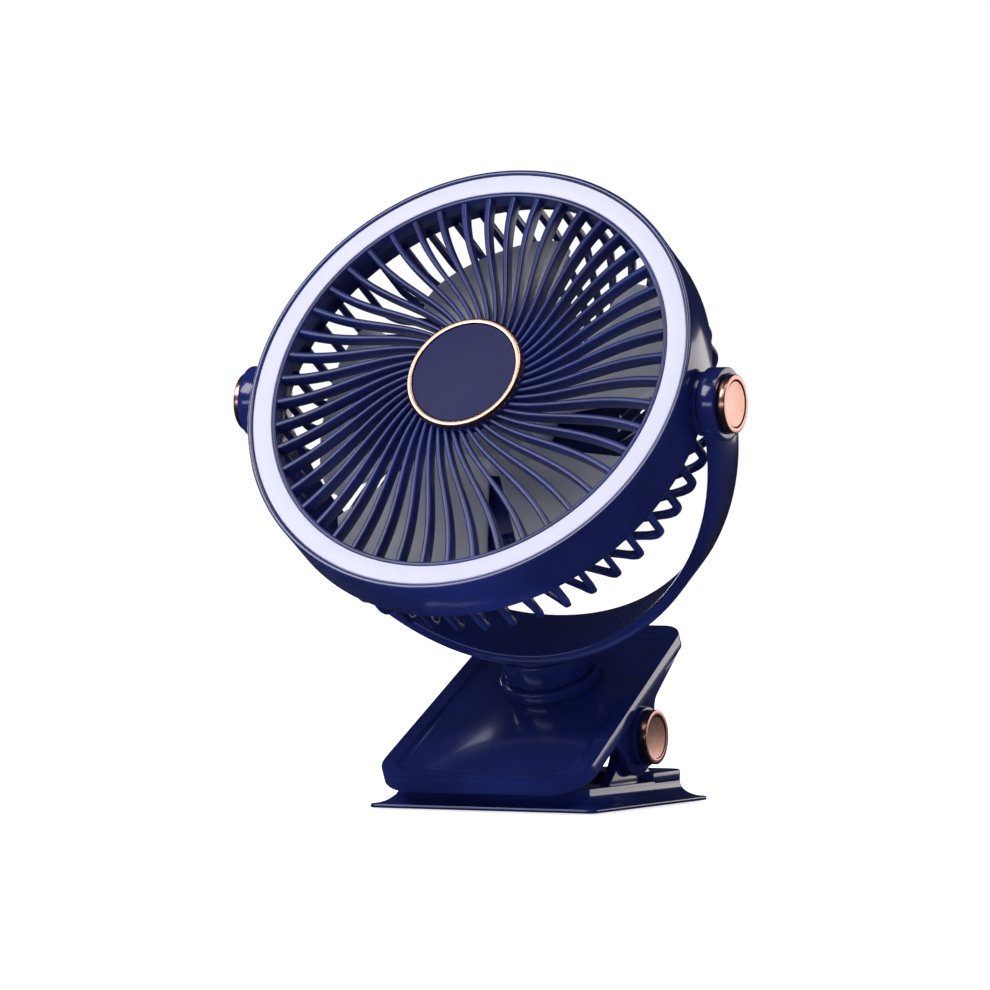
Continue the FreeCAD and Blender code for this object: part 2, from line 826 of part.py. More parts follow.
def make_swivel_post():
    """The round foot of the yoke, whose shaft turns in the upper jaw."""
    low = "(seat_collar_height + swivel_gap)"
    high = "(yoke_height - yoke_drop)"
    shaft_end = "(-jaw_thickness - swivel_gap)"
    outline = [("swivel_screw_radius", shaft_end), ("swivel_shaft_radius", shaft_end),
               ("swivel_shaft_radius", low), ("swivel_radius - 1", low),
               ("swivel_radius", low + " + 1"), ("swivel_radius", high + " - 2"),
               ("swivel_radius - 2", high + " - 0.4"), ("swivel_screw_radius", high + " - 0.4")]
    return turned("swivel_post", JAW, outline)


def make_swivel_washer():
    high = "-jaw_thickness - swivel_gap"
    low = high + " - swivel_washer_thickness"
    outline = [("swivel_screw_radius", low), ("swivel_washer_radius", low),
               ("swivel_washer_radius", high), ("swivel_screw_radius", high)]
    return turned("swivel_washer", JAW, outline)


def make_swivel_screw():
    screw = screw_shape(S.swivel_screw_radius, S.swivel_screw_length,
                        S.swivel_screw_head, S.swivel_screw_head_height)
    upside = FreeCAD.Rotation(Vector(1, 0, 0), 180)
    level = -S.jaw_thickness - S.swivel_gap - S.swivel_washer_thickness
    return solid_piece("swivel_screw", JAW, moved(screw, z=level, turn=upside))


def half_ellipse_band():
    """The U of the yoke, seen from the front, as a face in the XZ plane."""
    def half(reach, drop):
        curve = Part.Ellipse(Vector(), drop, reach)
        shape = curve.toShape(math.pi / 2, 3 * math.pi / 2)
        shape.rotate(Vector(), Vector(0, 0, 1), 90)
        shape.rotate(Vector(), Vector(1, 0, 0), 90)
        return shape
    outer = half(S.yoke_reach, S.yoke_drop)
    inner = half(S.yoke_reach - S.yoke_thickness, S.yoke_drop - S.yoke_thickness)
    left_out, right_out = sorted((outer.firstVertex().Point, outer.lastVertex().Point), key=lambda p: p.x)
    left_in, right_in = sorted((inner.firstVertex().Point, inner.lastVertex().Point), key=lambda p: p.x)
    edges = [outer, line(right_out, right_in), inner, line(left_in, left_out)]
    return wire_face(Part.__sortEdges__(edges))


def yoke_side_wire():
    """The yoke seen from its side: narrow arms that widen to the foot."""
    top = S.yoke_top_width / 2
    low = S.yoke_bottom_width / 2
    bottom = -S.yoke_drop - 1
    turn_level = -0.55 * S.yoke_drop
    x = -2 * S.yoke_reach
    points = [Vector(x, -top, 1), Vector(x, top, 1), Vector(x, top, turn_level),
              Vector(x, low, bottom), Vector(x, -low, bottom), Vector(x, -top, turn_level)]
    edges = [
        line(points[0], points[1]), line(points[1], points[2]),
        arc(points[2], Vector(x, top + 0.35 * (low - top), (turn_level + bottom) / 2), points[3]),
        line(points[3], points[4]),
        arc(points[4], Vector(x, -top - 0.35 * (low - top), (turn_level + bottom) / 2), points[5]),
        line(points[5], points[0]),
    ]
    return wire_face(edges).extrude(Vector(4 * S.yoke_reach, 0, 0))


def cross_disc(radius, start, end, side):
    """A disc across the X axis, from one distance from the middle to another."""
    return Part.makeCylinder(radius, end - start, Vector(side * start, 0, 0), Vector(side, 0, 0))


def make_yoke():
    width = 2 * S.yoke_bottom_width
    band = half_ellipse_band()
    band.translate(Vector(0, -width / 2, 0))
    band = band.extrude(Vector(0, width, 0)).common(yoke_side_wire())
    inside = S.yoke_reach - S.yoke_thickness
    eye_end = S.yoke_reach + S.yoke_eye_proud
    pieces = []
    for side in (-1, 1):
        eye = cross_disc(S.yoke_eye_radius, inside, eye_end, side)
        pieces.append(eye.makeChamfer(0.6, [edge for edge in eye.Edges if edge.Closed]))
    foot = disc_shape(S.yoke_foot_radius, -S.yoke_drop - 0.4, -S.yoke_drop + 1.5)
    yoke = band.multiFuse(pieces + [foot]).removeSplitter()
    for side in (-1, 1):
        sink = inside + S.yoke_web
        yoke = yoke.cut(cross_disc(S.pivot_screw_radius + S.running_gap, inside - 1, eye_end, side))
        yoke = yoke.cut(cross_disc(S.boss_radius, inside - 1, inside, side))
        yoke = yoke.cut(cross_disc(S.pivot_cap_radius - 1.4, sink, eye_end + 1, side))
    yoke = yoke.cut(disc_shape(S.swivel_screw_radius, -S.yoke_drop - 2, -S.yoke_drop + 1))
    return solid_piece("yoke", YOKE, yoke)


def make_pivot_caps():
    low = "(yoke_reach + yoke_eye_proud)"
    high = low + " + pivot_cap_height"
    plug = "pivot_cap_radius - 1.4 - seat_gap"
    outline = [("0", low + " - pivot_cap_plug"), (plug, low + " - pivot_cap_plug"), (plug, low),
               ("pivot_cap_radius", low), ("pivot_cap_radius", high + " - pivot_cap_edge"),
               ("pivot_cap_radius - pivot_cap_edge", high), ("0", high)]
    turned("pivot_cap_right", YOKE * ALONG_X, outline)
    turned("pivot_cap_left", YOKE * AGAINST_X, outline)


# The head: drum, light ring and grilles

DRUM_INSIDE = "(ring_outer_radius + drum_gap)"
DRUM_OUTSIDE = "(ring_outer_radius + drum_gap + drum_wall)"
DRUM_REAR = "(ring_face - drum_depth)"


def drum_inside():
    return S.ring_outer_radius + S.drum_gap


def make_drum():
    front = "ring_face + drum_lip"
    drum = turned("drum_band", HEAD, [
        (DRUM_INSIDE, DRUM_REAR), (DRUM_OUTSIDE, DRUM_REAR),
        (DRUM_OUTSIDE, front), (DRUM_INSIDE, front)])

    def boss_circle(sketch):
        draw_circle(sketch, "0", "0", "boss_radius")

    right = pad(drum, "YZ_Plane", DRUM_INSIDE, "boss_height", boss_circle)
    mirror = drum.newObject("PartDesign::Mirrored", "drum_boss_mirror")
    mirror.Originals = [right]
    mirror.MirrorPlane = (origin_plane(drum, "YZ_Plane"), [""])
    drum.Tip = mirror
    sketch = new_sketch(drum, "YZ_Plane")
    draw_circle(sketch, "0", "0", "pivot_screw_radius")
    hole = drum.newObject("PartDesign::Pocket", "drum_pivot_hole")
    hole.Profile = sketch
    hole.Midplane = True
    hole.Type = 1
    doc.recompute()
    return drum


def rib_face(inner, outer, sweep, bend, inner_width, outer_width):
    """A curved rib in plan: two arcs that swing round between two radii."""
    middle = (inner + outer) / 2
    sides = []
    for side in (-1, 1):
        spots = []
        for radius in (inner, middle, outer):
            share = (outer - radius) / (outer - inner)
            width = outer_width + (inner_width - outer_width) * share
            angle = -sweep * share ** bend + side * math.degrees(width / 2 / radius)
            spots.append(polar(radius, angle))
        sides.append(spots)
    low, high = sides
    edges = [arc(*low), line(low[2], high[2]), arc(high[2], high[1], high[0]), line(high[0], low[0])]
    return wire_face(edges)


def around(shape, count):
    """Copies of a shape, evenly round the Z axis."""
    copies = []
    for index in range(count):
        copies.append(moved(shape, turn=FreeCAD.Rotation(Vector(0, 0, 1), 360.0 * index / count)))
    return copies


def make_front_grille():
    """Forty-eight swirling ribs between the hub plate and the channel of the light ring."""
    face = S.ring_face
    floor = face - S.channel_depth
    wall_outer = S.ring_inner_radius - S.seat_gap
    wall_inner = wall_outer - S.channel_wall
    rim = drum_inside() - S.seat_gap
    channel = turned_shape([(wall_inner, floor), (rim, floor), (rim, floor + S.channel_wall),
                            (wall_outer, floor + S.channel_wall), (wall_outer, face),
                            (wall_inner, face)])
    hub_top = face + S.hub_proud - S.hub_ring_height
    hub = disc_shape(S.hub_ring_radius, hub_top - S.hub_plate, hub_top)
    inner = S.hub_ring_radius - 2
    outer = wall_inner + S.channel_wall / 2
    plan = rib_face(inner, outer, S.front_rib_sweep, S.front_rib_bend,
                    S.rib_inner_width, S.rib_outer_width)
    plan.translate(Vector(0, 0, floor - 5))
    rib = plan.extrude(Vector(0, 0, S.channel_depth + S.hub_proud + 10))
    ring_top = face - 0.6
    top = [(inner - 1, hub_top - 0.4), ((inner + outer) / 2, (hub_top + ring_top) / 2 + 0.5),
           (outer + 1, ring_top)]
    band = turned_shape(top + [(radius, height - S.rib_depth) for radius, height in reversed(top)])
    rib = rib.common(band)
    ribs = around(rib, int(S.front_rib_count))
    return solid_piece("front_grille", HEAD, hub.multiFuse([channel] + ribs).removeSplitter())


def make_light_ring():
    board_low = "(ring_face - channel_depth + channel_wall)"
    board_high = board_low + " + light_board_thickness"
    turned("light_board", HEAD, [
        ("ring_inner_radius + 0.6", board_low), ("ring_outer_radius - 0.4", board_low),
        ("ring_outer_radius - 0.4", board_high), ("ring_inner_radius + 0.6", board_high)])
    low = "ring_face - diffuser_thickness"
    body = turned("light_diffuser", HEAD, [
        ("ring_inner_radius", low), ("ring_outer_radius", low),
        ("ring_outer_radius", "ring_face"), ("ring_inner_radius", "ring_face")])
    soften(body, "Fillet", "diffuser_edge", at_height(S.ring_face))
    chip_low = S.ring_face - S.channel_depth + S.channel_wall + S.light_board_thickness
    middle = (S.ring_inner_radius + S.ring_outer_radius) / 2
    chip = Part.makeBox(S.chip_size, S.chip_size, S.chip_height,
                        Vector(middle - S.chip_size / 2, -S.chip_size / 2, chip_low))
    solid_piece("light_chips", HEAD, group(around(chip, int(S.chip_count))))


def make_hub_trim():
    low = "(ring_face + hub_proud - hub_ring_height)"
    ring_high = low + " + hub_ring_height"
    disc_high = low + " + hub_disc_height"
    body = turned("hub_disc", HEAD, [("0", low), ("hub_disc_radius", low),
                                     ("hub_disc_radius", disc_high), ("0", disc_high)])
    soften(body, "Fillet", "diffuser_edge", at_height(S.ring_face + S.hub_proud
                                                      - S.hub_ring_height + S.hub_disc_height))
    inner = "hub_disc_radius + seat_gap"
    turned("hub_ring", HEAD, [(inner, low), ("hub_ring_radius", low),
                              ("hub_ring_radius", ring_high + " - 0.8"),
                              ("hub_ring_radius - 0.6", ring_high), (inner, ring_high)])


def cage_rear():
    return S.ring_face - S.cage_depth


def cage_band_shape():
    """The space that the cage's ribs keep to: a wall, a round corner and a flat back."""
    rear = cage_rear()
    inner_corner = S.cage_corner - S.cage_wall
    half = math.sqrt(0.5)

    def bend(radius):
        centre = Vector(S.cage_radius - S.cage_corner, 0, rear + S.cage_corner)
        return [centre + Vector(radius, 0, 0), centre + Vector(radius * half, 0, -radius * half),
                centre + Vector(0, 0, -radius)]

    outer = bend(S.cage_corner)
    inner = bend(inner_corner)
    front = S.ring_face - S.drum_depth + 3
    start = S.pod_radius - 2
    edges = [
        line(Vector(S.cage_radius, 0, front), outer[0]), arc(*outer),
        line(outer[2], Vector(start, 0, rear)),
        line(Vector(start, 0, rear), Vector(start, 0, rear + S.cage_wall)),
        line(Vector(start, 0, rear + S.cage_wall), inner[2]), arc(inner[2], inner[1], inner[0]),
        line(inner[0], Vector(S.cage_radius - S.cage_wall, 0, front)),
        line(Vector(S.cage_radius - S.cage_wall, 0, front), Vector(S.cage_radius, 0, front)),
    ]
    return wire_face(edges).revolve(Vector(), Vector(0, 0, 1), 360)


def make_rear_cage():
    rear = cage_rear()
    drum_rear = S.ring_face - S.drum_depth
    ring_outer = drum_inside() - S.drum_gap
    ring = ring_shape(ring_outer - S.cage_ring_wall, ring_outer, drum_rear,
                      drum_rear + S.cage_ring_height)
    plate = disc_shape(S.pod_radius, rear, rear + S.cage_wall)
    plan = rib_face(S.pod_radius - 1, S.cage_radius, S.cage_rib_sweep, S.cage_rib_bend,
                    S.cage_rib_width, S.cage_rib_width)
    plan.translate(Vector(0, 0, rear - 5))
    rib = plan.extrude(Vector(0, 0, S.cage_depth + 10)).common(cage_band_shape())
    cage = plate.multiFuse([ring] + around(rib, int(S.cage_rib_count))).removeSplitter()
    cage = cage.cut(disc_shape(S.cage_plate_hole, rear - 1, rear + S.cage_wall + 1))
    for spot in screw_spots():
        cage = cage.cut(moved(disc_shape(S.motor_screw_radius, rear - 1, rear + S.cage_wall + 1),
                              spot.x, spot.y))
        cage = cage.cut(moved(disc_shape(S.motor_screw_head + S.seat_gap, rear - 1,
                                         rear + S.motor_screw_sink), spot.x, spot.y))
    return solid_piece("rear_cage", HEAD, cage)


def screw_spots():
    return [polar(S.motor_screw_circle, 90 + 120 * index) for index in range(3)]


# The head: motor and fan wheel

MOTOR_LOW = "(ring_face - cage_depth + cage_wall)"
WHEEL_LOW = "(%s + hub_tail_gap)" % MOTOR_LOW
CUP_TOP = "(%s + bearing_tube_length + air_gap)" % MOTOR_LOW
CUP_OUTSIDE = "(magnet_radius + rotor_cup_wall)"
WHEEL_TOP = "(%s + rotor_cup_wall + wheel_front_wall)" % CUP_TOP


def motor_low():
    return cage_rear() + S.cage_wall


def cup_top():
    return motor_low() + S.bearing_tube_length + S.air_gap


def make_motor():
    flange = MOTOR_LOW + " + motor_base_height"
    tube_top = MOTOR_LOW + " + bearing_tube_length"
    base = turned("motor_base", HEAD, [
        ("bearing_radius", MOTOR_LOW), ("motor_base_radius", MOTOR_LOW),
        ("motor_base_radius", flange), ("bearing_tube_radius", flange),
        ("bearing_tube_radius", tube_top), ("bearing_radius", tube_top)])

    def screw_holes(sketch):
        for x, y in (("0", "motor_screw_circle"),
                     ("-motor_screw_circle * 3 ^ 0.5 / 2", "-motor_screw_circle / 2"),
                     ("motor_screw_circle * 3 ^ 0.5 / 2", "-motor_screw_circle / 2")):
            draw_circle(sketch, x, y, "motor_screw_radius")

    pocket(base, "XY_Plane", flange, "motor_base_height", screw_holes)
    low = flange + " + winding_lift"
    turned("stator_winding", HEAD, [
        ("bearing_tube_radius + seat_gap", low), ("winding_radius", low),
        ("winding_radius", low + " + winding_height"),
        ("bearing_tube_radius + seat_gap", low + " + winding_height")])
    for label, level in (("rear_bearing", MOTOR_LOW + " + 0.5"),
                         ("front_bearing", tube_top + " - 0.5 - bearing_width")):
        turned(label, HEAD, [
            ("shaft_radius + running_gap", level), ("bearing_radius", level),
            ("bearing_radius", level + " + bearing_width"),
            ("shaft_radius + running_gap", level + " + bearing_width")])
    rear = cage_rear() + S.motor_screw_sink
    screw = screw_shape(S.motor_screw_radius, S.cage_wall - S.motor_screw_sink
                        + S.motor_base_height, S.motor_screw_head, S.motor_screw_sink - S.seat_gap)
    upside = FreeCAD.Rotation(Vector(1, 0, 0), 180)
    screws = [moved(screw, spot.x, spot.y, rear, upside) for spot in screw_spots()]
    solid_piece("motor_screws", HEAD, group(screws))


def make_rotor():
    shaft_low = MOTOR_LOW + " - 1"
    turned("motor_shaft", HEAD, [("0", shaft_low), ("shaft_radius", shaft_low),
                                 ("shaft_radius", shaft_low + " + shaft_length"),
                                 ("0", shaft_low + " + shaft_length")])
    magnet_low = CUP_TOP + " - magnet_height"
    turned("magnet_ring", HEAD, [
        ("magnet_radius - magnet_wall", magnet_low), ("magnet_radius", magnet_low),
        ("magnet_radius", CUP_TOP), ("magnet_radius - magnet_wall", CUP_TOP)])
    cup_high = CUP_TOP + " + rotor_cup_wall"
    turned("rotor_cup", HEAD, [
        ("magnet_radius", WHEEL_LOW), (CUP_OUTSIDE, WHEEL_LOW), (CUP_OUTSIDE, cup_high),
        ("shaft_radius", cup_high), ("shaft_radius", CUP_TOP), ("magnet_radius", CUP_TOP)])
    nut_high = WHEEL_TOP + " + nut_height"
    turned("wheel_nut", HEAD, [("shaft_radius", WHEEL_TOP), ("nut_radius", WHEEL_TOP),
                               ("nut_radius", nut_high + " - 0.5"),
                               ("nut_radius - 0.5", nut_high), ("shaft_radius", nut_high)])


def blade_section(radius, spread, height, front):
    """A thin cambered section of a blade, across the radius."""
    half = radius * math.tan(math.radians(spread / 2))
    thick = S.blade_thickness

    def curve(lift):
        return [Vector(radius, -half, front + lift),
                Vector(radius, 0, front - height / 2 - S.blade_camber + lift),
                Vector(radius, half, front - height + lift)]
    top = curve(0)
    low = curve(-thick)
    edges = [arc(*top), line(top[2], low[2]), arc(low[2], low[1], low[0]), line(low[0], top[0])]
    return Part.Wire(edges)


def make_fan_wheel():
    """Five wide cambered blades on a cup that covers the motor."""
    hub_inner = S.magnet_radius + S.rotor_cup_wall
    hub_outer = hub_inner + S.wheel_hub_wall
    low = motor_low() + S.hub_tail_gap
    high = cup_top() + S.rotor_cup_wall
    hub = turned_shape([(hub_inner, low), (hub_outer, low), (hub_outer, high + S.wheel_front_wall),
                        (S.shaft_radius, high + S.wheel_front_wall), (S.shaft_radius, high),
                        (hub_inner, high)])
    hub_front = high + S.wheel_front_wall
    root = blade_section(hub_inner, S.blade_root_spread, S.blade_root_height, hub_front)
    tip = blade_section(S.blade_radius + 6, S.blade_tip_spread, S.blade_tip_height,
                        hub_front + S.blade_lead - S.blade_root_height)
    tip.rotate(Vector(), Vector(0, 0, 1), S.blade_lead)
    blade = Part.makeLoft([root, tip], True, True)
    blade = blade.common(ring_shape(hub_inner + 1, S.blade_radius, low - 30, hub_front + 40))
    blade.rotate(Vector(), Vector(0, 0, 1), S.blade_turn)
    wheel = hub.multiFuse(around(blade, int(S.blade_count))).removeSplitter()
    return solid_piece("fan_wheel", HEAD, wheel)


# The head: battery pod, board and buttons

POD_FRONT = "(ring_face - cage_depth)"
POD_INSIDE = "(pod_radius - pod_wall)"
COVER_FRONT = "(%s - pod_depth + cover_thickness)" % POD_FRONT
COVER_REAR = "(%s - pod_depth)" % POD_FRONT
TRAY_TOP = "(%s - 2 * cell_gap - 2 * cell_radius)" % POD_FRONT
BOARD_TOP = "(%s - tray_thickness - tray_post)" % TRAY_TOP
BOARD_LOW = "(%s - board_thickness)" % BOARD_TOP


def tray_top():
    return cage_rear() - 2 * S.cell_gap - 2 * S.cell_radius


def board_low():
    return tray_top() - S.tray_thickness - S.tray_post - S.board_thickness


def cover_rear():
    return cage_rear() - S.pod_depth


def corner_spots(offset):
    return [(x, y) for x in (-offset, offset) for y in (-offset, offset)]


def make_pod_shell():
    """The round housing of the battery, with four screw posts and the charging slot."""
    front = cage_rear()
    cover_front = cover_rear() + S.cover_thickness
    inside = S.pod_radius - S.pod_wall
    shell = ring_shape(inside, S.pod_radius, cover_front, front)
    posts = []
    for x, y in corner_spots(S.pod_boss_place):
        post = moved(disc_shape(S.pod_boss_radius, cover_front, front), x, y)
        outward = math.hypot(x, y)
        web = Part.makeBox(inside - outward + 1, 2, front - cover_front,
                           Vector(outward, -1, cover_front))
        web.rotate(Vector(), Vector(0, 0, 1), math.degrees(math.atan2(y, x)))
        posts += [post, web]
    shell = shell.multiFuse(posts).removeSplitter()
    for x, y in corner_spots(S.pod_boss_place):
        hole = disc_shape(S.cover_screw_radius, cover_front - 1,
                          cover_front + S.cover_screw_length)
        shell = shell.cut(moved(hole, x, y))
    slot_width = S.port_width + 2 * S.port_gap
    slot_height = S.port_height + 2 * S.port_gap
    slot = Part.makeBox(slot_width, 4 * S.pod_wall, slot_height,
                        Vector(-slot_width / 2, -S.pod_radius - S.pod_wall,
                               board_low() - S.port_height - S.port_gap))
    return solid_piece("pod_shell", HEAD, shell.cut(slot))


def make_pod_cover():
    cover = turned("pod_cover", HEAD, [("0", COVER_REAR), ("pod_radius - cover_edge", COVER_REAR),
                                       ("pod_radius", COVER_REAR + " + cover_edge"),
                                       ("pod_radius", COVER_FRONT), ("0", COVER_FRONT)])

    def openings(sketch):
        for sign in ("-", ""):
            draw_circle(sketch, sign + "button_place", "0", "button_radius + button_play")
        draw_circle(sketch, "0", "window_place", "window_radius")
        for x in ("-", ""):
            for y in ("-", ""):
                draw_circle(sketch, x + "pod_boss_place", y + "pod_boss_place",
                            "cover_screw_radius")

    pocket(cover, "XY_Plane", COVER_FRONT, "cover_thickness", openings)

    def head_seats(sketch):
        for x in ("-", ""):
            for y in ("-", ""):
                draw_circle(sketch, x + "pod_boss_place", y + "pod_boss_place",
                            "cover_screw_head + seat_gap")

    pocket(cover, "XY_Plane", COVER_REAR, "cover_thickness / 2", head_seats, True)
    return cover


def make_cover_screws():
    screw = screw_shape(S.cover_screw_radius, S.cover_screw_length, S.cover_screw_head,
                        S.cover_thickness / 2)
    upside = FreeCAD.Rotation(Vector(1, 0, 0), 180)
    level = cover_rear() + S.cover_thickness / 2
    screws = [moved(screw, x, y, level, upside) for x, y in corner_spots(S.pod_boss_place)]
    return solid_piece("cover_screws", HEAD, group(screws))


def make_battery():
    level = cage_rear() - S.cell_gap - S.cell_radius
    side = S.cell_radius + S.cell_gap / 2
    cells = []
    for y in (-side, side):
        cell = Part.makeCylinder(S.cell_radius, S.cell_length, Vector(-S.cell_length / 2, y, level),
                                 Vector(1, 0, 0))
        cells.append(cell)
    solid_piece("battery_cells", HEAD, group(cells))
    tray = slab("battery_tray", HEAD, rectangle("tray_width", "tray_length"),
                TRAY_TOP + " - tray_thickness", "tray_thickness")

    def posts(sketch):
        for x in ("-(board_width / 2 - 3)", "(board_width / 2 - 3)"):
            for y in ("-(tray_length / 2 - 4)", "(tray_length / 2 - 4)"):
                draw_circle(sketch, x, y, "tray_post_radius")

    pad(tray, "XY_Plane", BOARD_TOP, "tray_post", posts)


def make_board():
    slab("control_board", HEAD, rectangle("board_width", "board_length", "-board_shift"),
         BOARD_LOW, "board_thickness")
    low = board_low()
    switches = []
    for x in (-S.button_place, S.button_place):
        body = Part.makeBox(S.switch_size, S.switch_size, S.switch_height,
                            Vector(x - S.switch_size / 2, -S.switch_size / 2,
                                   low - S.switch_height))
        switches.append(body)
    solid_piece("button_switches", HEAD, group(switches))
    edge = -S.pod_radius + 1
    port = Part.makeBox(S.port_width, S.port_length, S.port_height,
                        Vector(-S.port_width / 2, edge, low - S.port_height))
    mouth = Part.makeBox(S.port_width - 1, S.port_length - 1, S.port_height - 1,
                         Vector(-S.port_width / 2 + 0.5, edge - 0.01, low - S.port_height + 0.5))
    tongue = Part.makeBox(S.port_width - 3, S.port_length - 1, 0.7,
                          Vector(-S.port_width / 2 + 1.5, edge + 0.8,
                                 low - S.port_height / 2 - 0.35))
    solid_piece("charging_port", HEAD, port.cut(mouth).fuse(tongue))


def make_buttons():
    """The two push buttons at the back, each with a flange that keeps it in."""
    flange_low = "(%s + seat_gap)" % COVER_FRONT
    flange_high = flange_low + " + button_flange_height"
    end = COVER_REAR + " - button_proud"
    for label, side in (("fan_button", -1), ("light_button", 1)):
        place = HEAD * FreeCAD.Placement(Vector(side * S.button_place, 0, 0), FreeCAD.Rotation())
        turned(label, place, [("0", end), ("button_radius - 0.6", end),
                              ("button_radius", end + " + 0.6"), ("button_radius", flange_low),
                              ("button_radius + button_flange", flange_low),
                              ("button_radius + button_flange", flange_high),
                              ("0", flange_high)])


def make_window():
    place = HEAD * FreeCAD.Placement(Vector(0, S.window_place, 0), FreeCAD.Rotation())
    turned("charge_light_window", place, [
        ("0", COVER_REAR), ("window_radius", COVER_REAR),
        ("window_radius", BOARD_LOW + " - seat_gap"), ("0", BOARD_LOW + " - seat_gap")])


# The tilt pivots


def make_pivot_hardware():
    boss_end = drum_inside() + S.boss_height
    inside = S.yoke_reach - S.yoke_thickness
    washer_start = boss_end + S.pivot_washer_gap / 2
    washer_end = inside - S.pivot_washer_gap
    washers = []
    screws = []
    head_seat = inside + S.yoke_web + S.running_gap
    length = head_seat - drum_inside() - 0.1
    screw = screw_shape(S.pivot_screw_radius, length, S.pivot_head_radius, S.pivot_head_height)
    for side in (-1, 1):
        washer = cross_disc(S.pivot_washer_radius, washer_start, washer_end, side)
        washer = washer.cut(cross_disc(S.pivot_screw_radius, washer_start - 1, washer_end + 1, side))
        washers.append(washer)
        screws.append(moved(screw, x=side * head_seat,
                            turn=FreeCAD.Rotation(Vector(0, 1, 0), 90 * side)))
    solid_piece("pivot_washers", HEAD, group(washers))
    solid_piece("pivot_screws", HEAD, group(screws))


def check_and_write():
    """Stop on anything that failed, then write one file for each piece."""
    doc.recompute()
    for item in doc.Objects:
        if "Invalid" in item.State or "Error" in item.State:
            raise RuntimeError("%s is in state %s" % (item.Name, item.State))
    for item in parts:
        if item.Shape.isNull() or not item.Shape.isValid():
            raise RuntimeError("%s has no valid shape" % item.Label)
        if not item.Shape.Solids:
            raise RuntimeError("%s has no solid" % item.Label)
    os.makedirs("parts", exist_ok=True)
    for item in parts:
        item.Shape.exportStep("parts/%s.step" % item.Label)


make_base()
make_base_cover()
make_floor_pad()
make_lower_pad()
make_hinge_pin()
make_hinge_caps()
make_spring()
make_upper_jaw()
make_swivel_collar()
make_upper_pad()
make_swivel_post()
make_swivel_washer()
make_swivel_screw()
make_yoke()
make_pivot_caps()
make_drum()
make_front_grille()
make_light_ring()
make_hub_trim()
make_rear_cage()
make_motor()
make_rotor()
make_fan_wheel()
make_pod_shell()
make_pod_cover()
make_cover_screws()
make_battery()
make_board()
make_buttons()
make_window()
make_pivot_hardware()
check_and_write()
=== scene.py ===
import json
import math
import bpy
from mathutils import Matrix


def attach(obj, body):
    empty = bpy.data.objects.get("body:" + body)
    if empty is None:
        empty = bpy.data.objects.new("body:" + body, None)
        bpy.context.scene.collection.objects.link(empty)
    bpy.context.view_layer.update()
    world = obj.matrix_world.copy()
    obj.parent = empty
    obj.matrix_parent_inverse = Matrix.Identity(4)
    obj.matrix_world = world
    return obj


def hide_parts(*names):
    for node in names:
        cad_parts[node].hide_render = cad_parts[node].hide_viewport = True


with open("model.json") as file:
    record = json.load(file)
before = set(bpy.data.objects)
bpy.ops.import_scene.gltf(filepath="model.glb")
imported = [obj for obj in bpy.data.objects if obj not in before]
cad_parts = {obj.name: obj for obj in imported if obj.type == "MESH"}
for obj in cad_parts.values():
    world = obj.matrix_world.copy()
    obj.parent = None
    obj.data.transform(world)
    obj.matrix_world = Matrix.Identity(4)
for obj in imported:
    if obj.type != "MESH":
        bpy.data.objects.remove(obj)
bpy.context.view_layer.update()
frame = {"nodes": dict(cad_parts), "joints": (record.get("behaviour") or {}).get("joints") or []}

from types import SimpleNamespace

import bmesh
import bpy
from mathutils import Matrix, Vector

bl_info = {
    "name": "Clip-on camping fan",
    "version": (1, 0, 0),
    "blender": (4, 5, 0),
    "location": "3D View > Sidebar > Camping fan",
    "description": "Builds the looks of a clip-on fan with a ring light round its packed frame",
    "category": "Object",
}

MM = 0.001
JOINTS = {joint["name"]: joint for joint in frame["joints"]}


def axes(point, up):
    """Axes at a point whose Z runs along up and whose X stays the fan's side."""
    side = Vector((1, 0, 0))
    up = Vector(up).normalized()
    turn = Matrix((side, up.cross(side), up)).transposed().to_4x4()
    return Matrix.Translation(Vector(point)) @ turn


WORLD = Matrix.Identity(4)
HINGE = Matrix.Translation(Vector(JOINTS["jaw_hinge"]["pos_m"]))
JAW = axes(JOINTS["yoke_swivel"]["pos_m"], JOINTS["yoke_swivel"]["axis"])
YOKE = axes(JOINTS["head_tilt"]["pos_m"], JOINTS["yoke_swivel"]["axis"])
HEAD = axes(JOINTS["head_tilt"]["pos_m"], JOINTS["rotor_spin"]["axis"])
ALONG_X = Matrix.Rotation(math.radians(90), 4, "Y")
AGAINST_X = Matrix.Rotation(math.radians(-90), 4, "Y")
HINGE_IN_JAW = JAW.inverted() @ HINGE.translation / MM


# The sizes and colours that a user may change


def length(label, text, millimetres):
    return bpy.props.FloatProperty(name=label, description=text, default=millimetres * MM,
                                   min=0.0, unit="LENGTH", precision=5)


def angle(label, text, degrees):
    return bpy.props.FloatProperty(name=label, description=text, default=math.radians(degrees),
                                   subtype="ANGLE")


def number(label, text, count):
    return bpy.props.IntProperty(name=label, description=text, default=count, min=3)


def linear(code):
    """An sRGB hex colour as linear red, green and blue."""
    parts = [int(code[place:place + 2], 16) / 255 for place in (1, 3, 5)]
    return [part / 12.92 if part <= 0.04045 else ((part + 0.055) / 1.055) ** 2.4 for part in parts]


def colour(label, text, code):
    return bpy.props.FloatVectorProperty(name=label, description=text, default=linear(code),
                                         size=3, min=0.0, max=1.0, subtype="COLOR")


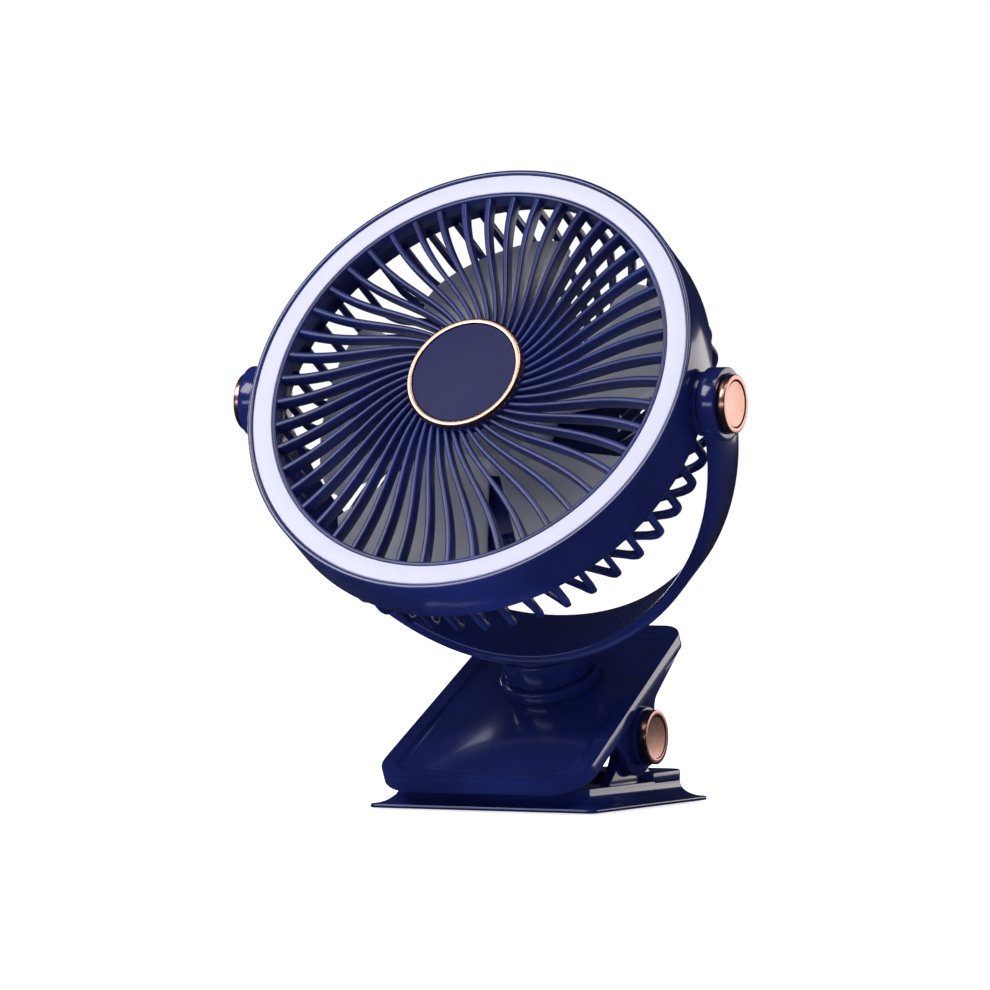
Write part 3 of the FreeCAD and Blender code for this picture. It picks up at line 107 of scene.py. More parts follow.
class FanSizes(bpy.types.PropertyGroup):
    """Sizes of the modelled pieces."""

    ring_outer: length("Light ring radius", "Outer radius of the light ring", 80.0)
    ring_inner: length("Light ring opening", "Inner radius of the light ring", 73.2)
    ring_face: length("Face level", "Face of the light ring above the tilt axis", 18.3)
    drum_outer: length("Drum radius", "Outer radius of the drum band", 82.0)
    drum_rear: length("Drum rear", "How far the drum reaches behind the tilt axis", 2.0)
    hub_radius: length("Hub radius", "Outer radius of the ring round the hub disc", 21.4)
    front_ribs: number("Front ribs", "Number of ribs of the front grille", 48)
    front_sweep: angle("Front sweep", "How far a front rib swings round", 25.0)
    cage_ribs: number("Cage ribs", "Number of ribs of the rear cage", 48)
    cage_sweep: angle("Cage sweep", "How far a cage rib swings round", 32.0)
    cage_radius: length("Cage radius", "Outer radius of the rear cage", 78.8)
    cage_depth: length("Cage depth", "From the light ring's face to the cage's back", 43.0)
    blades: number("Blades", "Number of blades of the fan wheel", 5)
    blade_radius: length("Blade radius", "Radius of the fan wheel", 70.0)
    yoke_reach: length("Yoke reach", "Half the width of the yoke", 88.5)
    yoke_drop: length("Yoke drop", "From the tilt axis to the foot of the yoke", 96.0)
    yoke_thickness: length("Yoke thickness", "Thickness of the yoke band", 4.2)
    cap_radius: length("Cap radius", "Radius of the pivot caps", 10.0)
    jaw_front: length("Jaw reach", "From the swivel to the jaw's front edge", 71.0)
    jaw_rear: length("Lever reach", "From the swivel to the lever's rear edge", 37.0)
    jaw_front_width: length("Jaw front width", "Width of the jaw at its front edge", 81.0)
    jaw_rear_width: length("Jaw rear width", "Width of the lever at its rear edge", 72.0)
    jaw_border: length("Jaw border", "Width of the border round the dished field", 6.0)
    base_width: length("Base width", "Width of the base over its rim", 86.3)
    base_length: length("Base length", "Length of the base over its rim", 95.0)


class FanColours(bpy.types.PropertyGroup):
    """Colours of the materials."""

    navy: colour("Navy", "Glossy moulded plastic", "#22307A")
    navy_deep: colour("Deep navy", "The darker tone of the same plastic", "#161D50")
    hub: colour("Hub disc", "The plain disc in the middle of the grille", "#101A5A")
    rose: colour("Rose gold", "Plated rings and caps", "#D2A290")
    ring: colour("Light ring", "Diffuser of the ring light, switched off", "#E0E0F4")
    blade: colour("Blade grey", "Fan wheel", "#E2E4EA")


class FanSettings(bpy.types.PropertyGroup):
    """All settings of the fan."""

    sizes: bpy.props.PointerProperty(type=FanSizes, name="Sizes", description="Sizes of the pieces")
    colours: bpy.props.PointerProperty(type=FanColours, name="Colours", description="Material colours")


def in_mm(context):
    """The sizes with lengths in millimetres and angles in radians."""
    group = context.scene.fan_settings.sizes
    values = {}
    for word, setting in group.bl_rna.properties.items():
        if setting.type in {"FLOAT", "INT"}:
            value = getattr(group, word)
            values[word] = value / MM if setting.unit == "LENGTH" else value
    return SimpleNamespace(**values)


# Modelling helpers. Every shape is made in millimetres, in its group's own axes.


def clean(bm):
    bmesh.ops.remove_doubles(bm, verts=bm.verts, dist=0.0005)
    bmesh.ops.recalc_face_normals(bm, faces=bm.faces)


def round_off(bm, size, segments=3, limit=30.0):
    """Bevel the edges that are sharper than a limit."""
    clean(bm)
    sharp = [edge for edge in bm.edges
             if edge.is_manifold and edge.calc_face_angle(0) > math.radians(limit)]
    bmesh.ops.bevel(bm, geom=sharp, offset=size, offset_type="OFFSET", affect="EDGES",
                    segments=segments, profile=0.5, material=-1, clamp_overlap=True)
    return bm


def turned(outline, steps=144, edge=0.0, segments=3):
    """Spin a closed outline of (radius, height) corners round the Z axis."""
    bm = bmesh.new()
    verts = [bm.verts.new((radius, 0, height)) for radius, height in outline]
    edges = [bm.edges.new(pair) for pair in zip(verts, verts[1:] + verts[:1])]
    bmesh.ops.spin(bm, geom=verts + edges, cent=(0, 0, 0), axis=(0, 0, 1), dvec=(0, 0, 0),
                   angle=math.tau, steps=steps, use_merge=True, use_duplicate=False)
    clean(bm)
    middle = [e for e in bm.edges if all(v.co.xy.length < 1e-4 for v in e.verts)]
    if middle:
        bmesh.ops.delete(bm, geom=middle, context="EDGES")
        clean(bm)
    if edge:
        round_off(bm, edge, segments)
    return bm


def block(outline, low, high, segments=8):
    """A flat plate from (x, y, corner radius) corners, between two heights."""
    bm = bmesh.new()
    verts = [bm.verts.new((x, y, low)) for x, y, radius in outline]
    face = bm.faces.new(verts)
    count = len(outline)
    reach = []
    for index, (x, y, radius) in enumerate(outline):
        here = Vector((x, y))
        back = (Vector(outline[index - 1][:2]) - here).normalized()
        ahead = (Vector(outline[(index + 1) % count][:2]) - here).normalized()
        reach.append(radius / math.tan(back.angle(ahead) / 2))
    for vert, offset in zip(verts, reach):
        if offset > 0:
            bmesh.ops.bevel(bm, geom=[vert], offset=offset, offset_type="OFFSET",
                            affect="VERTICES", segments=segments, profile=0.5, material=-1)
    made = bmesh.ops.extrude_face_region(bm, geom=bm.faces[:])
    top = [item for item in made["geom"] if isinstance(item, bmesh.types.BMVert)]
    bmesh.ops.translate(bm, vec=(0, 0, high - low), verts=top)
    clean(bm)
    return bm


def lofted(levels):
    """Bridge rounded rectangles of (width, depth, corner, height) from low to high."""
    bm = bmesh.new()
    for width, depth, corner, height in levels:
        absorb(bm, block(rectangle(width, depth, corner), height, height + 0.01))
    bmesh.ops.delete(bm, geom=bm.faces[:], context="FACES_ONLY")
    uppers = []
    for width, depth, corner, height in levels:
        uppers += [v for v in bm.verts if abs(v.co.z - height - 0.01) < 0.002]
    bmesh.ops.delete(bm, geom=uppers, context="VERTS")
    loops = []
    for width, depth, corner, height in levels:
        loops.append([e for e in bm.edges if all(abs(v.co.z - height) < 0.002 for v in e.verts)])
    for first, second in zip(loops, loops[1:]):
        bmesh.ops.bridge_loops(bm, edges=first + second)
    bmesh.ops.contextual_create(bm, geom=loops[0])
    bmesh.ops.contextual_create(bm, geom=loops[-1])
    return bm


def rectangle(width, depth, corner, middle_y=0.0):
    x = width / 2
    y = depth / 2
    return [(-x, middle_y - y, corner), (x, middle_y - y, corner),
            (x, middle_y + y, corner), (-x, middle_y + y, corner)]


def sweep(stations, edge, segments=2):
    """Bridge rectangular sections along a path of (place, tangent, normal, width, height)."""
    bm = bmesh.new()
    rings = []
    for place, tangent, normal, width, height in stations:
        across = tangent.cross(normal).normalized()
        up = across.cross(tangent).normalized()
        turn = Matrix((across * width, up * height, tangent.normalized())).transposed().to_4x4()
        ring = bmesh.ops.create_circle(bm, segments=4, radius=math.sqrt(0.5), cap_ends=False,
                                       matrix=Matrix.Translation(place) @ turn
                                       @ Matrix.Rotation(math.radians(45), 4, "Z"))
        rings.append(ring["verts"])
    loops = [[e for e in bm.edges if e.verts[0] in ring and e.verts[1] in ring] for ring in rings]
    long_edges = set()
    for first, second in zip(loops, loops[1:]):
        made = bmesh.ops.bridge_loops(bm, edges=first + second)
        long_edges.update(e for e in made["edges"] if e not in first and e not in second)
    bmesh.ops.contextual_create(bm, geom=loops[0])
    bmesh.ops.contextual_create(bm, geom=loops[-1])
    bmesh.ops.recalc_face_normals(bm, faces=bm.faces)
    if edge:
        bmesh.ops.bevel(bm, geom=list(long_edges), offset=edge, offset_type="OFFSET", affect="EDGES",
                        segments=segments, profile=0.5, material=-1, clamp_overlap=True)
    return bm


def absorb(bm, other, place=Matrix.Identity(4)):
    """Add one mesh in the making to another, at a place."""
    bmesh.ops.transform(other, matrix=place, verts=other.verts)
    carrier = bpy.data.meshes.new("carrier")
    other.to_mesh(carrier)
    other.free()
    bm.from_mesh(carrier)
    bpy.data.meshes.remove(carrier)
    return bm


def ring_of(bm, count):
    """Repeat everything in the mesh evenly round the Z axis."""
    bmesh.ops.spin(bm, geom=bm.verts[:] + bm.edges[:] + bm.faces[:], cent=(0, 0, 0), axis=(0, 0, 1),
                   dvec=(0, 0, 0), angle=math.tau * (count - 1) / count, steps=count - 1,
                   use_merge=False, use_duplicate=True)
    return bm


def piece(bm, name, place, body, material, replaced=()):
    """Turn a finished mesh into an object that rides on a CAD body."""
    clean(bm)
    bmesh.ops.transform(bm, matrix=place @ Matrix.Scale(MM, 4), verts=bm.verts)
    for face in bm.faces:
        face.smooth = True
    for edge in bm.edges:
        edge.smooth = edge.calc_face_angle(0) < math.radians(32)
    mesh = bpy.data.meshes.new(name)
    bm.to_mesh(mesh)
    bm.free()
    mesh.materials.append(material)
    item = bpy.data.objects.new(name, mesh)
    bpy.context.scene.collection.objects.link(item)
    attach(item, body)
    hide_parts(*replaced)
    return item


# Materials


def add_node(tree, kind, inputs=None, **settings):
    """Add a node with its settings, and fill or link its inputs."""
    new = tree.nodes.new(kind)
    for word, value in settings.items():
        setattr(new, word, value)
    for socket, value in (inputs or {}).items():
        if isinstance(value, bpy.types.NodeSocket):
            tree.links.new(value, new.inputs[socket])
        else:
            new.inputs[socket].default_value = value
    return new


def surface(name, first, second, rough, grain_mm, relief=0.02, patch_mm=40.0, stretch=(1, 1, 1),
            **settings):
    """A material whose colour, roughness and relief follow noise of real sizes."""
    material = bpy.data.materials.get(name)
    if material:
        return material
    material = bpy.data.materials.new(name)
    material.use_nodes = True
    tree = material.node_tree
    tree.nodes.clear()
    coordinates = add_node(tree, "ShaderNodeTexCoord").outputs["Object"]
    placed = add_node(tree, "ShaderNodeMapping", {"Vector": coordinates, "Scale": stretch})
    place = placed.outputs["Vector"]
    patches = add_node(tree, "ShaderNodeTexNoise", {"Vector": place, "Scale": 1 / (patch_mm * MM),
                                                    "Detail": 3.0, "Roughness": 0.5})
    tone = add_node(tree, "ShaderNodeMapRange", {"Value": patches.outputs["Fac"], "From Min": 0.3,
                                                 "From Max": 0.7})
    mixed = add_node(tree, "ShaderNodeMix", {"Factor": tone.outputs["Result"], "A": (*first, 1),
                                             "B": (*second, 1)}, data_type="RGBA")
    grain = add_node(tree, "ShaderNodeTexNoise", {"Vector": place, "Scale": 1 / (grain_mm * MM),
                                                  "Detail": 2.0})
    shine = add_node(tree, "ShaderNodeMapRange", {"Value": grain.outputs["Fac"],
                                                  "To Min": rough * 0.85, "To Max": rough * 1.15})
    bump = add_node(tree, "ShaderNodeBump", {"Height": grain.outputs["Fac"], "Strength": 1.0,
                                             "Distance": relief * MM})
    shader = add_node(tree, "ShaderNodeBsdfPrincipled",
                      {"Base Color": mixed.outputs[2], "Roughness": shine.outputs["Result"],
                       "Normal": bump.outputs["Normal"], **settings})
    add_node(tree, "ShaderNodeOutputMaterial", {"Surface": shader.outputs["BSDF"]})
    return material


def tones():
    return bpy.context.scene.fan_settings.colours


def navy_gloss():
    """Glossy injection-moulded ABS: near-mirror skin over deep navy, with faint orange peel."""
    return surface("abs_gloss_moulded", tones().navy_deep, tones().navy, 0.16, 6.0, 0.01, 60.0,
                   IOR=1.53, **{"Coat Weight": 0.5, "Coat Roughness": 0.06})


def navy_satin():
    """Satin injection-moulded ABS: soft sheen that keeps the ribs and the cage dark."""
    return surface("abs_satin_moulded", tones().navy_deep, tones().navy, 0.30, 1.2, 0.012, 30.0,
                   IOR=1.53)


def hub_blue():
    """Painted ABS disc: even matt navy, paler than the ribs, with a fine paint grain."""
    return surface("painted_abs_disc", tones().hub, [part * 0.9 for part in tones().hub], 0.6, 0.5,
                   0.01, 12.0, IOR=1.5)


def rose_gold():
    """Rose-gold plated ABS: warm mirror with a faint turned grain."""
    return surface("plated_rose_gold", tones().rose, [part * 0.86 for part in tones().rose], 0.24,
                   0.8, 0.008, 5.0, Metallic=1.0)


def diffuser():
    """Opal polycarbonate: flat pale lavender with a faint painted glow from emission, so the
    switched-off ring looks evenly bright.
    """
    pale = tones().ring
    return surface("opal_polycarbonate_painted_glow", pale, [part * 0.97 for part in pale], 0.45, 0.8, 0.006, 20.0,
                   # painted glow: emission in the diffuser's own colour, though the ring light is
                   # switched off
                   IOR=1.58, **{"Emission Color": (*pale, 1), "Emission Strength": 0.12})


def blade_grey():
    """Grey moulded polypropylene: semi-gloss blades that catch long soft streaks."""
    return surface("polypropylene_moulded", [part * 0.85 for part in tones().blade], tones().blade,
                   0.32, 2.0, 0.012, 25.0, IOR=1.49)


def rubber():
    """Moulded silicone rubber: matt near-black with a fine spark-eroded grain."""
    return surface("silicone_rubber_moulded", linear("#14151A"), linear("#20222A"), 0.75, 0.5, 0.05,
                   8.0, IOR=1.41)


def steel():
    """Zinc-plated steel: cool grey metal with fine drawn lines."""
    return surface("zinc_plated_steel", linear("#A8ACB2"), linear("#C4C8CC"), 0.32, 0.3, 0.01, 4.0,
                   Metallic=1.0)


def alloy():
    """Die-cast aluminium alloy: dull pale metal with a soft cast grain."""
    return surface("die_cast_aluminium", linear("#9A9DA2"), linear("#B8BABD"), 0.48, 0.6, 0.03, 6.0,
                   Metallic=1.0)


def copper():
    """Enamelled copper wire: warm glossy bands, each as wide as one 0.4 mm wire."""
    return surface("enamelled_copper_wire", linear("#8A3F1C"), linear("#C46A34"), 0.3, 0.4, 0.12, 3.0,
                   stretch=(1, 6, 1), Metallic=1.0)


def magnet():
    """Bonded ferrite: charcoal, matt and slightly granular."""
    return surface("bonded_ferrite", linear("#2A2A2C"), linear("#3A3A3D"), 0.62, 0.3, 0.03, 3.0, IOR=1.8)


def cell_wrap():
    """PVC shrink wrap over a battery cell: glossy blue skin with soft ripples."""
    return surface("pvc_shrink_wrap", linear("#1F5FA8"), linear("#2C74C4"), 0.28, 5.0, 0.05, 15.0,
                   IOR=1.54)


def black_plastic():
    """Glass-filled nylon: dark and satin with a fibrous grain."""
    return surface("glass_filled_nylon", linear("#101115"), linear("#1C1D22"), 0.45, 0.7, 0.03, 9.0,
                   IOR=1.53)


def button_grey():
    """Moulded TPE button: pale grey and soft, with a fine matt grain."""
    return surface("thermoplastic_elastomer", linear("#B9BCC8"), linear("#CDD0DA"), 0.55, 0.5, 0.02,
                   6.0, IOR=1.5)


def board_white():
    """White solder mask on a circuit board: bright, with a slight sheen."""
    return surface("white_solder_mask", linear("#D8DADC"), linear("#ECEEF0"), 0.35, 1.0, 0.01, 5.0,
                   IOR=1.5)


def board_green():
    """Green solder mask over copper tracks: darker and lighter patches 2 mm wide."""
    return surface("green_solder_mask", linear("#0D3D22"), linear("#1B6A3C"), 0.3, 0.6, 0.03, 2.0,
                   IOR=1.5)


def chip_yellow():
    """Phosphor in silicone on an LED chip: matt yellow with a fine powder grain."""
    return surface("phosphor_silicone", linear("#D8B63A"), linear("#EBCB55"), 0.5, 0.2, 0.02, 1.0,
                   IOR=1.41)


def paper_floor():
    """White paper sweep: the camera sees it lit to white, and the fan's gloss sees it dim."""
    material = surface("white_paper_sweep", linear("#F7F7F7"), linear("#FBFBFB"), 0.9, 2.0, 0.01,
                       300.0, **{"Specular IOR Level": 0.1, "Emission Color": (1, 1, 1, 1)})
    tree = material.node_tree
    if "Light Path" not in tree.nodes:
        shader = tree.nodes["Principled BSDF"]
        path = add_node(tree, "ShaderNodeLightPath")
        level = add_node(tree, "ShaderNodeMath", {0: path.outputs["Is Camera Ray"], 1: 0.8},
                         operation="MULTIPLY")
        tree.links.new(level.outputs["Value"], shader.inputs["Emission Strength"])
        lit = shader.inputs["Base Color"].links[0].from_socket
        dim = add_node(tree, "ShaderNodeMix", {"Factor": path.outputs["Is Glossy Ray"], "A": lit,
                                               "B": (0.02, 0.02, 0.03, 1)}, data_type="RGBA")
        tree.links.new(dim.outputs[2], shader.inputs["Base Color"])
    return material


def smoked_window():
    """Smoked polycarbonate light pipe: dark, glossy and faintly blue."""
    return surface("smoked_polycarbonate", linear("#20242E"), linear("#2C3240"), 0.12, 2.0, 0.004,
                   5.0, IOR=1.58)


# Pieces of the clip


class BuildBase(bpy.types.Operator):
    """Build the flat base with its hollow-curved skirt, raised heel and two hinge ears"""

    bl_idname = "fan.base"
    bl_label = "Base"

    def execute(self, context):
        s = in_mm(context)
        inset = 6.5
        levels = [(s.base_width, s.base_length, 3.0, 0.6)]
        for step in range(9):
            turn = math.pi / 2 * step / 8
            drawn = 2 * inset * math.sin(turn)
            levels.append((s.base_width - drawn, s.base_length - drawn, 3.0 + step / 4,
                           2.0 + 5.2 * (1 - math.cos(turn))))
        levels.append((*levels[-1][:3], 8.5))
        bm = round_off(lofted(levels), 0.4, 3, 50.0)
        width = s.base_width - 2 * inset
        rear = s.base_length / 2 - inset
        heel = block(rectangle(width, 30.0, 5.0, rear - 15.0), 7.0, 11.7)
        absorb(bm, round_off(heel, 0.7, 3, 55.0))
        hinge = HINGE.translation / MM
        ear_outline = [(-20.0, -17.0, 0.0), (20.0, -17.0, 0.0), (9.2, -8.0, 16.0), (8.0, 8.3, 7.9),
                       (-8.0, 8.3, 7.9), (-9.2, -8.0, 16.0)]
        for side in (-1, 1):
            ear = round_off(block(ear_outline, 0.0, 4.0, 10), 0.5, 2, 55.0)
            upright = Matrix(((0, 0, 1), (1, 0, 0), (0, 1, 0))).to_4x4()
            start = 29.5 if side > 0 else -33.5
            absorb(bm, ear, Matrix.Translation((start, hinge.y, hinge.z)) @ upright)
        piece(bm, "base_shell", WORLD, "clip_base", navy_gloss(), ["base"])
        return {"FINISHED"}


class BuildHingeCaps(bpy.types.Operator):
    """Build the plated caps on the ends of the hinge pin"""

    bl_idname = "fan.hinge_caps"
    bl_label = "Hinge caps"

    def execute(self, context):
        outline = [(0, 39.6), (9.5, 39.6), (9.5, 43.1), (7.6, 43.1), (7.2, 42.8), (0, 42.8)]
        for name, turn in (("left", AGAINST_X), ("right", ALONG_X)):
            cap = turned(outline, 96, 0.35)
            piece(cap, "hinge_cap_" + name + "_face", HINGE @ turn, "clip_base", rose_gold(),
                  ["hinge_cap_" + name])
        return {"FINISHED"}


class BuildJaw(bpy.types.Operator):
    """Build the sloping lever jaw with its dished field, side flanges and hinge collars"""

    bl_idname = "fan.jaw"
    bl_label = "Upper jaw"

    def execute(self, context):
        s = in_mm(context)
        front = s.jaw_front_width / 2
        rear = s.jaw_rear_width / 2
        outline = [(-front, -s.jaw_front, 14.0), (front, -s.jaw_front, 14.0),
                   (rear, s.jaw_rear, 8.0), (-rear, s.jaw_rear, 8.0)]
        bm = block(outline, -5.0, 0.0, 12)
        top = max(bm.faces, key=lambda face: face.calc_center_median().z)
        for thickness, depth in ((s.jaw_border - 0.6, 0.0), (0.4, -0.35), (0.6, -0.45), (0.8, -0.3),
                                 (1.5, 0.0)):
            bmesh.ops.inset_region(bm, faces=[top], thickness=thickness, depth=depth,
                                   use_even_offset=True)
        round_off(bm, 0.9, 4, 55.0)
        hinge = HINGE_IN_JAW
        flange = [(-31.2, 10.4, 0.0), (-16.0, 8.6, 12.0), (-13.0, -12.6, 12.4), (13.0, -12.6, 12.4),
                  (13.9, 5.4, 6.0), (41.6, 10.4, 0.0)]
        upright = Matrix(((0, 0, 1), (1, 0, 0), (0, 1, 0))).to_4x4()
        for side in (-1, 1):
            plate = round_off(block(flange, 0.0, 3.0, 12), 0.5, 2, 55.0)
            start = 34.0 if side > 0 else -37.0
            absorb(bm, plate, Matrix.Translation((start, hinge.y, hinge.z)) @ upright)
            collar = turned([(3.05, 36.5), (10.5, 36.5), (10.5, 39.5), (3.05, 39.5)], 72, 0.4)
            absorb(bm, collar, Matrix.Translation((0, hinge.y, hinge.z))
                   @ (ALONG_X if side > 0 else AGAINST_X))
        piece(bm, "jaw_lever", JAW, "lever_jaw", navy_gloss(), ["upper_jaw"])
        return {"FINISHED"}


class BuildSwivel(bpy.types.Operator):
    """Build the swivel's seat on the jaw and the round post of the yoke"""

    bl_idname = "fan.swivel"
    bl_label = "Swivel"

    def execute(self, context):
        seat = turned([(6.1, -1.2), (18.0, -1.2), (18.0, 3.0), (6.1, 3.0)], 96, 0.7)
        piece(seat, "swivel_seat", JAW, "lever_jaw", navy_gloss(), ["swivel_collar"])
        post = turned([(2.0, -5.3), (6.0, -5.3), (6.0, 3.3), (16.0, 3.3), (16.0, 12.4), (2.0, 12.4)],
                      96, 0.9)
        piece(post, "swivel_foot", JAW, "yoke_frame", navy_gloss(), ["swivel_post"])
        return {"FINISHED"}


class BuildYoke(bpy.types.Operator):
    """Build the U-shaped yoke with its round eyes and its foot"""

    bl_idname = "fan.yoke"
    bl_label = "Yoke"

    def execute(self, context):
        s = in_mm(context)
        half = s.yoke_thickness / 2
        across = s.yoke_reach - half
        down = s.yoke_drop - half
        stations = []
        count = 72
        for index in range(count + 1):
            turn = math.pi * index / count
            place = Vector((-across * math.cos(turn), 0, -down * math.sin(turn)))
            tangent = Vector((across * math.sin(turn), 0, -down * math.cos(turn)))
            normal = Vector((0, 1, 0))
            share = min(max((-place.z - 0.55 * s.yoke_drop) / (0.45 * s.yoke_drop), 0.0), 1.0)
            width = 20.0 + 10.0 * (0.35 * share + 0.65 * share * share)
            stations.append((place, tangent, normal, s.yoke_thickness, width))
        bm = sweep(stations, 0.9, 3)
        inside = s.yoke_reach - s.yoke_thickness
        for turn in (ALONG_X, AGAINST_X):
            outline = [(2.6, inside), (12.5, inside), (12.5, s.yoke_reach + 2.0),
                       (10.2, s.yoke_reach + 2.0), (10.0, s.yoke_reach + 1.7), (8.6, s.yoke_reach + 1.7),
                       (8.6, inside + 2.0), (2.6, inside + 2.0)]
            absorb(bm, turned(outline, 96, 0.3, 2), turn)
        foot = turned([(2.0, -s.yoke_drop - 0.4), (15.0, -s.yoke_drop - 0.4),
                       (15.0, -s.yoke_drop + 1.5), (2.0, -s.yoke_drop + 1.5)], 72, 0.3, 2)
        absorb(bm, foot)
        piece(bm, "yoke_band", YOKE, "yoke_frame", navy_gloss(), ["yoke"])
        return {"FINISHED"}


class BuildPivotCaps(bpy.types.Operator):
    """Build the plated caps in the eyes of the yoke"""

    bl_idname = "fan.pivot_caps"
    bl_label = "Pivot caps"

    def execute(self, context):
        s = in_mm(context)
        low = s.yoke_reach + 2.0
        radius = s.cap_radius
        outline = [(0, low - 1.7), (radius - 1.5, low - 1.7), (radius - 1.5, low), (radius, low),
                   (radius, low + 3.0), (radius - 1.8, low + 3.0), (radius - 2.2, low + 2.7),
                   (0, low + 2.7)]
        for name, turn in (("left", AGAINST_X), ("right", ALONG_X)):
            cap = turned(outline, 96, 0.35)
            piece(cap, "pivot_cap_" + name + "_face", YOKE @ turn, "yoke_frame", rose_gold(),
                  ["pivot_cap_" + name])
        return {"FINISHED"}


# Pieces of the head


class BuildDrum(bpy.types.Operator):
    """Build the drum band with its two pivot bosses"""

    bl_idname = "fan.drum"
    bl_label = "Drum band"

    def execute(self, context):
        s = in_mm(context)
        inside = s.ring_outer + 0.3
        front = s.ring_face + 0.3
        bm = turned([(inside, -s.drum_rear), (s.drum_outer, -s.drum_rear), (s.drum_outer, front),
                     (inside, front)], 256, 0.55, 4)
        for turn in (ALONG_X, AGAINST_X):
            boss = turned([(2.5, inside + 0.4), (11.0, inside + 0.4), (11.0, inside + 3.0),
                           (2.5, inside + 3.0)], 72, 0.4)
            absorb(bm, boss, turn)
        piece(bm, "drum_shell", HEAD, "fan_head", navy_gloss(), ["drum_band"])
        return {"FINISHED"}


class BuildLightRing(bpy.types.Operator):
    """Build the diffuser of the ring light"""

    bl_idname = "fan.light_ring"
    bl_label = "Light ring"

    def execute(self, context):
        s = in_mm(context)
        low = s.ring_face - 2.0
        bm = turned([(s.ring_inner, low), (s.ring_outer, low), (s.ring_outer, s.ring_face),
                     (s.ring_inner, s.ring_face)], 256, 0.4, 3)
        piece(bm, "ring_light_cover", HEAD, "fan_head", diffuser(), ["light_diffuser"])
        return {"FINISHED"}


class BuildFrontGrille(bpy.types.Operator):
    """Build the swirling front ribs with their hub plate and the channel of the light"""

    bl_idname = "fan.front_grille"
    bl_label = "Front grille"

    def execute(self, context):
        s = in_mm(context)
        wall_outer = s.ring_inner - 0.1
        wall_inner = wall_outer - 1.5
        floor = s.ring_face - 6.5
        rim = s.ring_outer + 0.2
        hub_top = s.ring_face + 1.5
        inner = s.hub_radius - 2.0
        outer = wall_inner + 0.75
        middle = (inner + outer) / 2
        stations = []
        count = 22

        def spot(radius):
            share = max((outer - radius) / (outer - inner), 0.0)
            turn = -s.front_sweep * share ** 2.5
            rise = (radius - middle) / (outer - inner) * 2
            top = (hub_top + s.ring_face - 0.6) / 2 + 0.5 * (1 - rise * rise)
            top += rise * (s.ring_face - 0.6 - hub_top + 0.4) / 2 - 0.2
            return Vector((radius * math.cos(turn), radius * math.sin(turn), top - 2.5))

        for index in range(count + 1):
            radius = inner + (outer - inner) * index / count
            tangent = spot(radius + 0.5) - spot(radius - 0.5)
            width = 1.5 + 0.7 * index / count
            stations.append((spot(radius), tangent, Vector((0, 0, 1)), width, 5.0))
        bm = ring_of(sweep(stations, 0.6, 3), s.front_ribs)
        channel = turned([(wall_inner, floor), (rim, floor), (rim, floor + 1.5),
                          (wall_outer, floor + 1.5), (wall_outer, s.ring_face),
                          (wall_inner, s.ring_face)], 256, 0.3, 2)
        absorb(bm, channel)
        hub = turned([(0, hub_top - 4.0), (s.hub_radius, hub_top - 4.0), (s.hub_radius, hub_top),
                      (0, hub_top)], 128, 0.3, 2)
        absorb(bm, hub)
        piece(bm, "swirl_grille", HEAD, "fan_head", navy_satin(), ["front_grille"])
        return {"FINISHED"}


class BuildHub(bpy.types.Operator):
    """Build the plain disc in the middle of the grille and its plated ring"""

    bl_idname = "fan.hub"
    bl_label = "Hub disc and ring"

    def execute(self, context):
        s = in_mm(context)
        low = s.ring_face + 1.5
        inner = s.hub_radius - 2.2
        disc = turned([(0, low), (inner - 0.1, low), (inner - 0.1, low + 1.7), (0, low + 1.7)],
                      128, 0.4)
        piece(disc, "hub_plain_disc", HEAD, "fan_head", hub_blue(), ["hub_disc"])
        ring = turned([(inner, low), (s.hub_radius, low), (s.hub_radius, low + 1.2),
                       (s.hub_radius - 0.6, low + 2.0), (inner, low + 2.0)], 192, 0.2)
        piece(ring, "hub_plated_ring", HEAD, "fan_head", rose_gold(), ["hub_ring"])
        return {"FINISHED"}


class BuildRearCage(bpy.types.Operator):
    """Build the rear cage: swept ribs that bend round its corner, a back plate and a ring"""

    bl_idname = "fan.rear_cage"
    bl_label = "Rear cage"

    def execute(self, context):
        s = in_mm(context)
        rear = s.ring_face - s.cage_depth
        wall = 3.0
        corner = 8.0
        middle = corner - wall / 2
        bend = Vector((s.cage_radius - corner, rear + corner))
        start = 39.0

        def radial(radius, level, normal):
            share = min(max((s.cage_radius - radius) / (s.cage_radius - start), 0.0), 1.0)
            turn = -s.cage_sweep * share ** 1.5
            swing = Matrix.Rotation(turn, 3, "Z")
            return swing @ Vector((radius, 0, level)), swing @ normal

        path = []
        for index in range(17):
            radius = start + (bend.x - start) * index / 16
            path.append(radial(radius, rear + wall / 2, Vector((0, 0, -1))))
        for index in range(1, 9):
            turn = math.pi / 2 * index / 8
            way = Vector((math.sin(turn), 0, -math.cos(turn)))
            path.append(radial(bend.x + middle * way.x, bend.y + middle * way.z, way))
        for index in range(1, 5):
            level = bend.y + (1.0 - bend.y) * index / 4
            path.append(radial(s.cage_radius - wall / 2, level, Vector((1, 0, 0))))
        stations = []
        for index, (place, normal) in enumerate(path):
            before = path[max(index - 1, 0)][0]
            after = path[min(index + 1, len(path) - 1)][0]
            stations.append((place, after - before, normal, 2.4, wall))
        bm = ring_of(sweep(stations, 0.7, 3), s.cage_ribs)
        ring_outer = s.ring_outer
        ring = turned([(ring_outer - 2.0, -s.drum_rear), (ring_outer, -s.drum_rear),
                       (ring_outer, 5.0), (ring_outer - 2.0, 5.0)], 192, 0.3, 2)
        absorb(bm, ring)
        plate = turned([(5.0, rear), (40.0, rear), (40.0, rear + wall), (5.0, rear + wall)], 128,
                       0.4, 2)
        absorb(bm, plate)
        piece(bm, "rib_cage", HEAD, "fan_head", navy_satin(), ["rear_cage"])
        return {"FINISHED"}


